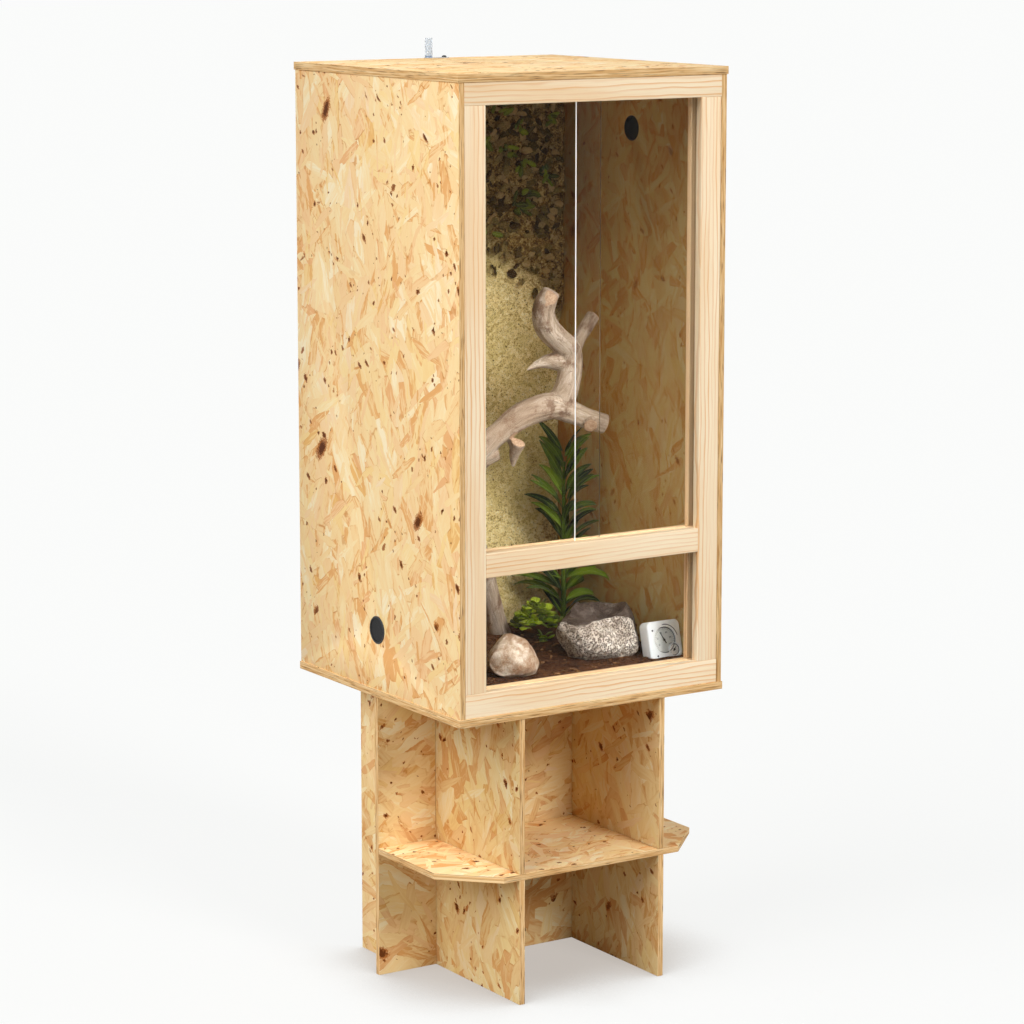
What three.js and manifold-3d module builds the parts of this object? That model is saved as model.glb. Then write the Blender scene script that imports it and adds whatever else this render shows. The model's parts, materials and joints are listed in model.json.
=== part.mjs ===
// Terrarium cabinet of strand board with a pine front frame, two sliding panes above a fixed one,
// a dressed interior, and a stand of interlocking boards.
//
// Frame: millimetres, +Z up, origin on the floor under the middle of the cabinet, front towards -Y.

import * as THREE from 'three';
import { mergeVertices } from 'three/addons/utils/BufferGeometryUtils.js';
import Module from 'manifold-3d';

const wasm = await Module();
wasm.setup();

// ---------------------------------------------------------------- driving dimensions

// Cabinet
const CABINET_W = 600;            // lid and base board, left to right
const CABINET_D = 600;            // lid and base board, front to back
const CABINET_H = 1200;           // underside of the base board to the top of the lid
const CAP_T = 15;                 // thickness of the lid and base boards
const PANEL_T = 12;               // thickness of the side and back panels
const LIP = 2;                    // overhang of the lid and base past the panels

// Front frame
const FRAME_T = 18;               // thickness of the pine front boards
const STILE_W = 46;
const TOP_RAIL_H = 42;
const MID_RAIL_H = 46;
const BOTTOM_RAIL_H = 46;
const WINDOW_H = 215;             // clear height of the lower, fixed window
const ARRIS = 1.2;                // eased edges of the front boards
const TENON_L = 16;
const TENON_T = 6;
const TENON_SHOULDER = 8;         // step from the board's edge to the tenon

// Glass and its carriers
const GUIDE_D = 29;               // depth of the grooved guides behind the rails
const BATTEN_T = 12;
const PANE_T = 4;
const GROOVE_PLAY = 0.5;          // play on each side of a pane in its groove
const GROOVE_LOW = 6;             // depth of the grooves that carry a pane
const GROOVE_HIGH = 14;           // depth of the grooves above, so that a pane lifts out
const PANE_GRIP = 7;              // how far a sliding pane reaches into the upper groove
const PANE_OVERLAP = 60;          // overlap of the two closed panes
const FRONT_TRACK = 2;            // back of the front boards to the front pane
const TRACK_GAP = 4;              // between the front and the rear pane
const PANE_END_PLAY = 2;          // closed pane to the side panel
const PANE_EASE = 0.6;            // ground edges of the glass
const FIT = 0.3;                  // clearance of seated pieces

// Vents
const VENT_BORE_R = 25;
const VENT_RIM_R = 27;
const VENT_RIM_T = 1.5;
const VENT_WALL = 2.2;
const VENT_SEAT_R = 20.5;         // bore of the inner lip that the grille lies on
const VENT_SEAT_T = 1.5;
const VENT_HEIGHT = 132;          // left vent above the base, right vent below the lid's top
const GRILLE_T = 1.6;
const GRILLE_PITCH = 6.2;
const GRILLE_HOLE = 4.7;

// Fitting on the lid
const PLATE_T = 1.5;
const PLATE_W = 15.4;
const PLATE_L = 52;
const PLATE_INSET = 10;           // middle of the plate from the lid's rear edge
const TUBE_R = 7.5;
const TUBE_WALL = 1.6;
const TUBE_H = 38;
const SCREW_REACH = 36;           // screw from the tube's axis
const SCREW_HEAD_R = 5;
const SCREW_HEAD_H = 3.6;
const SCREW_R = 2;
const SCREW_L = 11;

// Stand
const STAND_H = 555;
const STAND_BOARD = 12;
const STAND_INSET = 4;            // boards and shelf from the cabinet's outline
const PLATE_SPACING = 320;        // between the middles of the two front plates
const CROSS_Y = 10;               // middle of the cross plate, behind the cabinet's middle
const PLATE_TAIL = 64;            // how far the front plates run on behind the cross plate
const REAR_INSET = 70;            // middle of a rear plate from the end of the cross plate
const REAR_L = 162;               // rear plates, behind the cross plate
const DADO = 4;                   // groove that holds a rear plate
const SHELF_Z = 255;              // top of the shelf above the floor
const SHELF_CHAMFER = 95;
const SHELF_TAB = 120;            // width of the shelf's tab through the cross plate

// Dressing
const BACKGROUND_T = 36;
const RELIEF = 30;                // how far the cork clumps stand out
const RELIEF_START = 0.66;        // share of the inner height where the clumps begin
const RELIEF_BLEND = 0.13;        // share of the inner height over which they grow
const RELIEF_RIPPLE = 1.5;        // low swell of the bare background
const RELIEF_COLS = 18;           // grid of the background's front
const RELIEF_ROWS = 32;
const SOIL_COLS = 16;             // grid of the soil's top
const SOIL_ROWS = 15;
const CLUMP_PITCH = 62;           // spacing of the cork clumps
const SOIL_H = 30;
const SOIL_RISE = 9;
const REST = 0.3;                 // what stands on the soil lies this far above it
const STONE_R = [52, 47, 44];     // pale stone: half of its width, depth and height
const DISH_R = [88, 72, 68];      // hollow rock
const BOWL_R = [66, 48, 46];      // hollow of the rock
const STEM_R = 8;
const PLANT_H = 370;
const PLANT_LEAF = 156;           // longest leaf of the upright plant
const PLANT_LEAF_W = 22;
const ROSETTE_LEAF = 54;
const ROSETTE_LEAF_W = 28;
const ROSETTE_H = 58;
const VINE_R = 2.4;
const VINE_GAP = 0.4;             // vine to the cork
const VINE_DROP = 340;            // how far the vine hangs down

// Thermo-hygrometer
const GAUGE_SIZE = 76;
const GAUGE_D = 28;
const GAUGE_CORNER = 11;
const GAUGE_LEAN = 14;            // degrees, leaning back
const GAUGE_WALL_GAP = 2;         // to the right side panel
const GAUGE_FROM_GLASS = 59;      // front foot of the case behind the guides
const DIAL_R = 26;
const DIAL_DEPTH = 5;
const DIAL_T = 0.8;
const SMALL_DIAL_R = 12;
const SMALL_DIAL_X = 21;
const SMALL_DIAL_Z = -21;
const BEZEL = 1.6;
const LENS_T = 1;
const NEEDLE_T = 0.8;
const PIVOT_R = 1.2;

// ---------------------------------------------------------------- derived places
// Heights in the cabinet count from the underside of its base board.

const HALF_W = CABINET_W / 2;
const HALF_D = CABINET_D / 2;
const SIDE_X = HALF_W - LIP;                        // outer face of a side panel
const INNER_X = SIDE_X - PANEL_T;                   // inner face of a side panel
const FRONT_Y = -HALF_D + LIP;                      // front face of the frame and panels
const BACK_Y = HALF_D - LIP - PANEL_T;              // inner face of the back panel
const FLOOR_Z = CAP_T;                              // top of the base board
const CEILING_Z = CABINET_H - CAP_T;                // underside of the lid
const FRAME_Y = FRONT_Y + FRAME_T;                  // back of the front boards
const GUIDE_Y = FRAME_Y + GUIDE_D;                  // back of the guides
const OPEN_X = INNER_X - STILE_W;                   // half of the clear opening
const SILL_Z = FLOOR_Z + BOTTOM_RAIL_H;
const MID_Z0 = SILL_Z + WINDOW_H;
const MID_Z1 = MID_Z0 + MID_RAIL_H;
const HEAD_Z = CEILING_Z - TOP_RAIL_H;
const FRONT_PANE_Y = FRAME_Y + FRONT_TRACK;
const REAR_PANE_Y = FRONT_PANE_Y + PANE_T + TRACK_GAP;
const PANE_BOTTOM = MID_Z1 - GROOVE_LOW + FIT;
const PANE_TOP = HEAD_Z + PANE_GRIP;
const WALL_Y = BACK_Y - BACKGROUND_T;               // front face of the background, bare parts
const SOIL_Z = FLOOR_Z + SOIL_H;
const GROUND_Z = SOIL_Z + REST;                     // where the stones, branch and plants stand
const LID_Z = CABINET_H;

// ---------------------------------------------------------------- materials

const material = (color, roughness, metalness = 0, extra = {}) =>
  new THREE.MeshStandardMaterial({ color, roughness, metalness, ...extra });

const strandBoard = material(0xe3bd7f, 0.75);
const shadedBoard = material(0xc99f62, 0.78);
const pine = material(0xf0d9b6, 0.6);
const guidePine = material(0xd9bd92, 0.65);
const glass = material(0xdfeee8, 0.05, 0, { transparent: true, opacity: 0.3 });
const ventPlastic = material(0x1b1b1c, 0.55);
const zinc = material(0xb4b8bc, 0.35, 0.9);
const clearPlastic = material(0xeaf0f2, 0.1, 0, { transparent: true, opacity: 0.4 });
const blackSteel = material(0x151515, 0.4, 0.8);
const cork = material(0xa2925a, 0.95);
const soil = material(0x3b261a, 1);
const driftwood = material(0xb9a598, 0.85);
const darkLeaf = material(0x2f5418, 0.6);
const lightLeaf = material(0x6f9a2c, 0.6);
const vineLeaf = material(0x52701f, 0.65);
const paleStone = material(0xd9cdbf, 0.9);
const porousRock = material(0x9b8f88, 0.95);
const gaugePlastic = material(0xdfe4ea, 0.4);
const dialPaper = material(0xf3f4f6, 0.7);
const needleBlack = material(0x20242a, 0.5);

// ---------------------------------------------------------------- geometry helpers

/** Closed geometry to solid. */
function solid(geometry) {
  const plain = new THREE.BufferGeometry();
  plain.setAttribute('position', geometry.getAttribute('position').clone());
  if (geometry.index) plain.setIndex(geometry.index.clone());
  const merged = mergeVertices(plain, 1e-4);
  return new wasm.Manifold(new wasm.Mesh({
    numProp: 3,
    vertProperties: Float32Array.from(merged.getAttribute('position').array),
    triVerts: Uint32Array.from(merged.index.array),
  }));
}

/** Solid back to geometry. */
function shape(body) {
  const mesh = body.getMesh();
  const geometry = new THREE.BufferGeometry();
  geometry.setAttribute('position', new THREE.BufferAttribute(Float32Array.from(mesh.vertProperties), 3));
  geometry.setIndex(new THREE.BufferAttribute(Uint32Array.from(mesh.triVerts), 1));
  geometry.computeVertexNormals();
  return geometry;
}

const cut = (body, ...tools) => shape(tools.reduce((rest, tool) => rest.subtract(solid(tool)), solid(body)));
const join = (first, ...others) => shape(others.reduce((sum, next) => sum.add(solid(next)), solid(first)));

/** Box between two corners. */
function block(x0, x1, y0, y1, z0, z1) {
  const box = new THREE.BoxGeometry(x1 - x0, y1 - y0, z1 - z0);
  return box.translate((x0 + x1) / 2, (y0 + y1) / 2, (z0 + z1) / 2);
}

/** Outline in (a, b) extruded by length; turn maps it to its place. */
function extrude(outline, length, holes = []) {
  const face = new THREE.Shape(outline.map(([a, b]) => new THREE.Vector2(a, b)));
  face.holes = holes.map((hole) => new THREE.Path(hole.map(([a, b]) => new THREE.Vector2(a, b))));
  return new THREE.ExtrudeGeometry(face, { depth: length, bevelEnabled: false });
}

/** Outline in (y, z) carried along X from x0 to x1. */
function alongX(outline, x0, x1) {
  const turn = new THREE.Matrix4().makeBasis(
    new THREE.Vector3(0, 1, 0), new THREE.Vector3(0, 0, 1), new THREE.Vector3(1, 0, 0));
  return extrude(outline, x1 - x0).applyMatrix4(turn).translate(x0, 0, 0);
}

/** Outline in (x, y) carried along Z from z0 to z1. */
const alongZ = (outline, z0, z1, holes) => extrude(outline, z1 - z0, holes).translate(0, 0, z0);

/** Outline in (x, z) carried along Y from y0 to y1. */
function alongY(outline, y0, y1, holes) {
  const turn = new THREE.Matrix4().makeBasis(
    new THREE.Vector3(1, 0, 0), new THREE.Vector3(0, 0, 1), new THREE.Vector3(0, -1, 0));
  return extrude(outline, y1 - y0, holes).applyMatrix4(turn).translate(0, y1, 0);
}

/** Rectangle with all four corners eased. */
function eased(a0, a1, b0, b1, ease) {
  return [[a0 + ease, b0], [a1 - ease, b0], [a1, b0 + ease], [a1, b1 - ease],
    [a1 - ease, b1], [a0 + ease, b1], [a0, b1 - ease], [a0, b0 + ease]];
}

/** Points of a circle. */
function circle(radius, sides, a = 0, b = 0) {
  return Array.from({ length: sides }, (_, i) => {
    const turn = (i / sides) * Math.PI * 2;
    return [a + radius * Math.cos(turn), b + radius * Math.sin(turn)];
  });
}

/** Profile of [radius, height] pairs turned round the Z axis. */
function turned(profile, sides) {
  const points = profile.map(([r, h]) => new THREE.Vector2(r, h));
  return new THREE.LatheGeometry(points, sides).rotateX(Math.PI / 2);
}

/** Smooth step from 0 at a to 1 at b. */
function smooth(a, b, value) {
  const t = Math.min(Math.max((value - a) / (b - a), 0), 1);
  return t * t * (3 - 2 * t);
}

/** Repeatable number from 0 to 1 for a whole-number pair. */
function chance(i, j) {
  const wave = Math.sin(i * 127.1 + j * 311.7) * 43758.5453;
  return wave - Math.floor(wave);
}

/** Rings of equal point count joined into a closed skin with flat ends. */
function skin(rings) {
  const count = rings[0].length;
  const vertices = rings.flat();
  const index = [];
  for (let r = 0; r + 1 < rings.length; r += 1) {
    for (let k = 0; k < count; k += 1) {
      const a = r * count + k;
      const b = r * count + ((k + 1) % count);
      index.push(a, b, a + count, b, b + count, a + count);
    }
  }
  const centre = (ring) => ring.reduce((sum, p) => sum.add(p), new THREE.Vector3()).divideScalar(count);
  vertices.push(centre(rings[0]), centre(rings[rings.length - 1]));
  const first = rings.length * count;
  const last = (rings.length - 1) * count;
  for (let k = 0; k < count; k += 1) {
    const next = (k + 1) % count;
    index.push(first, next, k);
    index.push(first + 1, last + k, last + next);
  }
  const geometry = new THREE.BufferGeometry();
  geometry.setAttribute('position', new THREE.Float32BufferAttribute(vertices.flatMap((p) => p.toArray()), 3));
  geometry.setIndex(index);
  return geometry;
}

/** Tapered, slightly ridged wood tube through points of [x, y, z, radius]. */
function woodTube(points, sides, steps, ridge = 0.07) {
  const curve = new THREE.CatmullRomCurve3(points.map(([x, y, z]) => new THREE.Vector3(x, y, z)), false, 'centripetal');
  const frames = curve.computeFrenetFrames(steps, false);
  const rings = [];
  for (let i = 0; i <= steps; i += 1) {
    const t = i / steps;
    const at = curve.getPoint(t);
    const along = t * (points.length - 1);
    const low = Math.min(Math.floor(along), points.length - 2);
    const radius = THREE.MathUtils.lerp(points[low][3], points[low + 1][3], along - low);
    const tangent = curve.getTangent(t).normalize();
    const across = frames.normals[i].clone().addScaledVector(tangent, -frames.normals[i].dot(tangent)).normalize();
    const up = new THREE.Vector3().crossVectors(tangent, across);
    rings.push(Array.from({ length: sides }, (_, k) => {
      const turn = (k / sides) * Math.PI * 2;
      const r = radius * (1 + ridge * Math.cos(3 * turn + 2.5 * t));
      return at.clone().addScaledVector(across, r * Math.cos(turn)).addScaledVector(up, r * Math.sin(turn));
    }));
  }
  return skin(rings);
}

/**
 * Leaf blade with a raised midrib: leaves root at an azimuth, rises, and bends over.
 * Its section is a flat diamond whose width follows the blade's outline.
 */
function blade(root, { azimuth, length, width, rise, bend, thick = 2.2, waist = 0.5, steps = 4 }) {
  const out = new THREE.Vector3(Math.cos(azimuth), Math.sin(azimuth), 0);
  const side = new THREE.Vector3(-Math.sin(azimuth), Math.cos(azimuth), 0);
  const at = root.clone();
  const rings = [];
  for (let i = 0; i <= steps; i += 1) {
    const t = i / steps;
    const pitch = rise - bend * t;
    const forward = out.clone().multiplyScalar(Math.cos(pitch)).add(new THREE.Vector3(0, 0, Math.sin(pitch)));
    const lift = new THREE.Vector3().crossVectors(forward, side).negate();
    const spread = Math.max(Math.sin(Math.PI * Math.min(0.08 + t * 0.9, 1) ** waist), 0.12);
    const half = (width / 2) * spread;
    const fat = (thick / 2) * (1 - 0.5 * t);
    rings.push([
      at.clone().addScaledVector(side, half),
      at.clone().addScaledVector(lift, -fat),
      at.clone().addScaledVector(side, -half),
      at.clone().addScaledVector(lift, fat),
    ]);
    at.addScaledVector(forward, length / steps);
  }
  return skin(rings);
}

/** Weathered boulder: an icosahedron ball swollen and dented by slow waves, sitting on a flat foot. */
function boulder(radii, detail, seed, foot) {
  const ball = mergeVertices(stripped(new THREE.IcosahedronGeometry(1, detail)), 1e-5);
  const place = ball.getAttribute('position');
  const p = new THREE.Vector3();
  for (let i = 0; i < place.count; i += 1) {
    p.fromBufferAttribute(place, i);
    const wave = 0.09 * Math.sin(3.1 * p.x + seed) * Math.cos(2.3 * p.y - seed)
      + 0.07 * Math.sin(4.3 * p.z + 2 * seed + 2 * p.x) + 0.04 * Math.sin(7 * p.y + 5 * p.x + seed);
    p.multiplyScalar(1 + wave).multiply(radii);
    place.setXYZ(i, p.x, p.y, p.z);
  }
  const reach = 4 * Math.max(radii.x, radii.y, radii.z);
  return cut(ball, block(-reach, reach, -reach, reach, -reach, -foot)).translate(0, 0, foot);
}

/** Copy of a geometry with its places alone. */
function stripped(geometry) {
  const plain = new THREE.BufferGeometry();
  plain.setAttribute('position', geometry.getAttribute('position'));
  if (geometry.index) plain.setIndex(geometry.index);
  return plain;
}

/** Closed slab whose far face is a height field over (u, v): place(u, v, far) gives each point. */
function reliefSlab(nu, nv, place) {
  const vertices = [];
  const index = [];
  const width = nu + 1;
  const top = (i, j) => j * width + i;
  for (let j = 0; j <= nv; j += 1) {
    for (let i = 0; i <= nu; i += 1) vertices.push(place(i / nu, j / nv, true));
  }
  for (let j = 0; j < nv; j += 1) {
    for (let i = 0; i < nu; i += 1) {
      index.push(top(i, j), top(i + 1, j), top(i + 1, j + 1));
      index.push(top(i, j), top(i + 1, j + 1), top(i, j + 1));
    }
  }
  const rim = [
    ...Array.from({ length: nu }, (_, i) => [i, 0]), ...Array.from({ length: nv }, (_, j) => [nu, j]),
    ...Array.from({ length: nu }, (_, i) => [nu - i, nv]), ...Array.from({ length: nv }, (_, j) => [0, nv - j])];
  const base = vertices.length;
  rim.forEach(([i, j]) => vertices.push(place(i / nu, j / nv, false)));
  const middle = vertices.push(place(0.5, 0.5, false)) - 1;
  rim.forEach(([i, j], k) => {
    const next = (k + 1) % rim.length;
    const [a, b] = [top(i, j), top(...rim[next])];
    index.push(base + k, b, a, base + k, base + next, b, middle, base + next, base + k);
  });
  const geometry = new THREE.BufferGeometry();
  geometry.setAttribute('position', new THREE.Float32BufferAttribute(vertices.flatMap((p) => p.toArray()), 3));
  geometry.setIndex(index);
  return geometry;
}

// ---------------------------------------------------------------- assembly

const terrarium = new THREE.Group();
const stand = new THREE.Group();
const cabinet = new THREE.Group();
cabinet.position.z = STAND_H;
terrarium.add(stand, cabinet);

/** Adds a named piece to a group. */
function piece(group, name, geometry, finish) {
  geometry.computeVertexNormals();
  const mesh = new THREE.Mesh(geometry, finish);
  mesh.name = name;
  group.add(mesh);
  return mesh;
}

// ---------------------------------------------------------------- carcass

const ventZ = { left: VENT_HEIGHT, right: CABINET_H - VENT_HEIGHT };
const plateY = HALF_D - PLATE_INSET;
const screwHole = (radius, z0, z1) => alongZ(circle(radius, 12, SCREW_REACH, plateY), z0, z1);

/** Side panel with the bore of its vent; side is -1 for the left. */
function sidePanel(side, height) {
  const outer = side * SIDE_X;
  const inner = side * INNER_X;
  const board = block(Math.min(outer, inner), Math.max(outer, inner), FRONT_Y, HALF_D - LIP, FLOOR_Z, CEILING_Z);
  const bore = alongX(circle(VENT_BORE_R, 32, 0, height), Math.min(outer, inner) - 1, Math.max(outer, inner) + 1);
  return cut(board, bore);
}

piece(cabinet, 'base_board', block(-HALF_W, HALF_W, -HALF_D, HALF_D, 0, CAP_T), strandBoard);
piece(cabinet, 'lid_board', cut(
  block(-HALF_W, HALF_W, -HALF_D, HALF_D, CEILING_Z, CABINET_H),
  screwHole(SCREW_R + FIT, CABINET_H - SCREW_L - FIT, CABINET_H + 1)), strandBoard);
piece(cabinet, 'left_side_panel', sidePanel(-1, ventZ.left), strandBoard);
piece(cabinet, 'right_side_panel', sidePanel(1, ventZ.right), strandBoard);
piece(cabinet, 'back_panel', block(-INNER_X, INNER_X, BACK_Y, BACK_Y + PANEL_T, FLOOR_Z, CEILING_Z), shadedBoard);

// ---------------------------------------------------------------- front frame

const tenonY = FRONT_Y + (FRAME_T - TENON_T) / 2;
const stileTenon = (side, z0, z1, play) => block(
  side * (OPEN_X + STILE_W / 2) - STILE_W / 2 + TENON_SHOULDER - play,
  side * (OPEN_X + STILE_W / 2) + STILE_W / 2 - TENON_SHOULDER + play,
  tenonY - play, tenonY + TENON_T + play, z0, z1);
const midTenon = (x0, x1, play) => block(
  x0, x1, tenonY - play, tenonY + TENON_T + play,
  MID_Z0 + TENON_SHOULDER - play, MID_Z1 - TENON_SHOULDER + play);

/** Horizontal board of the frame with eased long edges. */
const rail = (x0, x1, z0, z1) => alongX(eased(FRONT_Y, FRAME_Y, z0, z1, ARRIS), x0, x1);

/** Upright board with a tenon at each end and a mortise for the middle rail. */
function stile(side) {
  const x0 = side < 0 ? -INNER_X : OPEN_X;
  const board = alongZ(eased(x0, x0 + STILE_W, FRONT_Y, FRAME_Y, ARRIS), SILL_Z, HEAD_Z);
  const whole = join(board,
    stileTenon(side, SILL_Z - TENON_L, SILL_Z + TENON_L, 0),
    stileTenon(side, HEAD_Z - TENON_L, HEAD_Z + TENON_L, 0));
  const mouth = side * OPEN_X;
  const reach = side * (OPEN_X + TENON_L + FIT);
  return cut(whole, midTenon(Math.min(mouth - side, reach), Math.max(mouth - side, reach), FIT));
}

const mortises = (z0, z1) => [-1, 1].map((side) => stileTenon(side, z0, z1, FIT));

piece(cabinet, 'bottom_rail', cut(rail(-INNER_X, INNER_X, FLOOR_Z, SILL_Z),
  ...mortises(SILL_Z - TENON_L - FIT, SILL_Z + 1)), pine);
piece(cabinet, 'top_rail', cut(rail(-INNER_X, INNER_X, HEAD_Z, CEILING_Z),
  ...mortises(HEAD_Z - 1, HEAD_Z + TENON_L + FIT)), pine);
piece(cabinet, 'mid_rail', join(rail(-OPEN_X, OPEN_X, MID_Z0, MID_Z1),
  midTenon(-OPEN_X - TENON_L, -OPEN_X + TENON_L, 0),
  midTenon(OPEN_X - TENON_L, OPEN_X + TENON_L, 0)), pine);
piece(cabinet, 'left_stile', stile(-1), pine);
piece(cabinet, 'right_stile', stile(1), pine);

// ---------------------------------------------------------------- grooved guides, battens and panes

/** Section of a guide from z0 to z1, walked round with the grooves it has above and below. */
function guideSection(z0, z1, grooves) {
  const span = (y) => [y - GROOVE_PLAY, y + PANE_T + GROOVE_PLAY];
  const notch = (y, edge, depth) => {
    const [near, far] = span(y);
    return [[near, edge], [near, edge + depth], [far, edge + depth], [far, edge]];
  };
  const below = (grooves.below ?? []).flatMap((y) => notch(y, z0, GROOVE_HIGH));
  const above = (grooves.above ?? []).flatMap((y) => notch(y, z1, -GROOVE_LOW)).reverse();
  return [[FRAME_Y, z0], ...below, [GUIDE_Y, z0], [GUIDE_Y, z1], ...above, [FRAME_Y, z1]];
}

const tracks = [FRONT_PANE_Y, REAR_PANE_Y];
const guide = (z0, z1, grooves) => alongX(guideSection(z0, z1, grooves), -INNER_X, INNER_X);
piece(cabinet, 'upper_guide', guide(HEAD_Z, CEILING_Z, { below: tracks }), guidePine);
piece(cabinet, 'middle_guide', guide(MID_Z0, MID_Z1, { below: [FRONT_PANE_Y], above: tracks }), guidePine);
piece(cabinet, 'sill_guide', guide(FLOOR_Z, SILL_Z, { above: [FRONT_PANE_Y] }), guidePine);

/** Rear batten beside an opening, from guide to guide. */
function batten(side, z0, z1) {
  const x0 = side < 0 ? -INNER_X : OPEN_X;
  return alongZ(eased(x0, x0 + STILE_W, GUIDE_Y - BATTEN_T, GUIDE_Y, ARRIS / 2), z0, z1);
}

piece(cabinet, 'upper_left_batten', batten(-1, MID_Z1, HEAD_Z), guidePine);
piece(cabinet, 'upper_right_batten', batten(1, MID_Z1, HEAD_Z), guidePine);
piece(cabinet, 'lower_left_batten', batten(-1, SILL_Z, MID_Z0), guidePine);
piece(cabinet, 'lower_right_batten', batten(1, SILL_Z, MID_Z0), guidePine);

const pane = (x0, x1, y, z0, z1) => alongZ(eased(x0, x1, y, y + PANE_T, PANE_EASE), z0, z1);
const paneEnd = INNER_X - PANE_END_PLAY;
piece(cabinet, 'left_pane', pane(-paneEnd, PANE_OVERLAP / 2, REAR_PANE_Y, PANE_BOTTOM, PANE_TOP), glass);
piece(cabinet, 'right_pane', pane(-PANE_OVERLAP / 2, paneEnd, FRONT_PANE_Y, PANE_BOTTOM, PANE_TOP), glass);
piece(cabinet, 'fixed_pane', pane(-paneEnd, paneEnd, FRONT_PANE_Y,
  SILL_Z - GROOVE_LOW + FIT, MID_Z0 + PANE_GRIP), glass);

// ---------------------------------------------------------------- vents

/** Flanged sleeve, turned round Z with its rim at the bottom, z = 0 at the panel's outer face. */
function ventSleeve() {
  const outer = VENT_BORE_R - FIT;
  const inner = outer - VENT_WALL;
  return turned([
    [inner, -VENT_RIM_T], [VENT_RIM_R - 0.6, -VENT_RIM_T], [VENT_RIM_R, -VENT_RIM_T + 0.6], [VENT_RIM_R, 0],
    [outer, 0], [outer, PANEL_T], [inner, PANEL_T], [inner, GRILLE_T + VENT_SEAT_T], [VENT_SEAT_R, GRILLE_T + VENT_SEAT_T],
    [VENT_SEAT_R, GRILLE_T], [inner, GRILLE_T], [inner, -VENT_RIM_T],
  ], 24);
}

/** Round grille with square holes, its outer face flush with the panel's. */
function ventGrille() {
  const radius = VENT_BORE_R - VENT_WALL - 2 * FIT;
  const cells = Math.floor(radius / GRILLE_PITCH);
  const half = GRILLE_HOLE / 2;
  const holes = [];
  for (let i = -cells; i <= cells; i += 1) {
    for (let j = -cells; j <= cells; j += 1) {
      const [a, b] = [i * GRILLE_PITCH, j * GRILLE_PITCH];
      if (Math.hypot(Math.abs(a) + half, Math.abs(b) + half) > VENT_SEAT_R) continue;
      holes.push(block(a - half, a + half, b - half, b + half, -1, GRILLE_T + 1));
    }
  }
  return cut(alongZ(circle(radius, 24), 0, GRILLE_T), ...holes);
}

for (const [name, side] of [['left', -1], ['right', 1]]) {
  const vent = new THREE.Group();
  vent.position.set(side * SIDE_X, 0, ventZ[name]);
  vent.rotation.y = -side * Math.PI / 2;
  cabinet.add(vent);
  piece(vent, `${name}_vent_sleeve`, ventSleeve(), ventPlastic);
  piece(vent, `${name}_vent_grille`, ventGrille(), ventPlastic);
}

// ---------------------------------------------------------------- fitting on the lid

piece(cabinet, 'fitting_plate', cut(
  alongZ(eased(-PLATE_W / 2, PLATE_L - PLATE_W / 2, plateY - PLATE_W / 2, plateY + PLATE_W / 2, 2.5), LID_Z, LID_Z + PLATE_T),
  screwHole(SCREW_R + FIT, LID_Z - 1, LID_Z + PLATE_T + 1)), zinc);
piece(cabinet, 'fitting_tube', alongZ(circle(TUBE_R, 24, 0, plateY), LID_Z + PLATE_T, LID_Z + PLATE_T + TUBE_H,
  [circle(TUBE_R - TUBE_WALL, 24, 0, plateY)]), clearPlastic);
piece(cabinet, 'fitting_screw', turned([
  [0, -SCREW_L], [SCREW_R * 0.4, -SCREW_L], [SCREW_R, -SCREW_L + 3], [SCREW_R, PLATE_T], [SCREW_HEAD_R, PLATE_T],
  [SCREW_HEAD_R * 0.92, PLATE_T + SCREW_HEAD_H * 0.5], [SCREW_HEAD_R * 0.55, PLATE_T + SCREW_HEAD_H * 0.9],
  [0, PLATE_T + SCREW_HEAD_H],
], 16).translate(SCREW_REACH, plateY, LID_Z), blackSteel);

// ---------------------------------------------------------------- background and vine

/** How far the cork stands out at x, z: rounded clumps on a jittered grid, high up and down the right side. */
function corkRise(x, z) {
  const share = (z - FLOOR_Z) / (CEILING_Z - FLOOR_Z);
  const low = RELIEF_START - 0.12 * smooth(0.45, 1, x / INNER_X);
  const weight = smooth(low, low + RELIEF_BLEND, share);
  const [ci, cj] = [Math.floor(x / CLUMP_PITCH), Math.floor(z / CLUMP_PITCH)];
  let dome = 0;
  for (let i = ci - 1; i <= ci + 1; i += 1) {
    for (let j = cj - 1; j <= cj + 1; j += 1) {
      const dx = x - (i + 0.2 + 0.6 * chance(i, j)) * CLUMP_PITCH;
      const dz = z - (j + 0.2 + 0.6 * chance(j, i + 7)) * CLUMP_PITCH;
      const reach = CLUMP_PITCH * (0.6 + 0.35 * chance(i + 3, j + 5));
      dome = Math.max(dome, (1 - (dx * dx + dz * dz) / (reach * reach)) * (0.55 + 0.45 * chance(j, i)));
    }
  }
  const lump = Math.sqrt(Math.max(dome, 0)) * weight;
  return RELIEF * lump + RELIEF_RIPPLE * (1 + Math.sin(x / 23) * Math.cos(z / 31));
}

piece(cabinet, 'background', reliefSlab(RELIEF_COLS, RELIEF_ROWS, (u, v, far) => {
  const x = THREE.MathUtils.lerp(-INNER_X, INNER_X, u);
  const z = THREE.MathUtils.lerp(FLOOR_Z, CEILING_Z, v);
  return new THREE.Vector3(x, far ? WALL_Y - corkRise(x, z) : BACK_Y, z);
}), cork);

/** Front of the cork near x, z: the furthest out within a reach. */
function corkFront(x, z, reach) {
  let out = 0;
  for (let i = -3; i <= 3; i += 1) {
    for (let j = -3; j <= 3; j += 1) out = Math.max(out, corkRise(x + (i * reach) / 3, z + (j * reach) / 3));
  }
  return WALL_Y - out;
}

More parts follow.
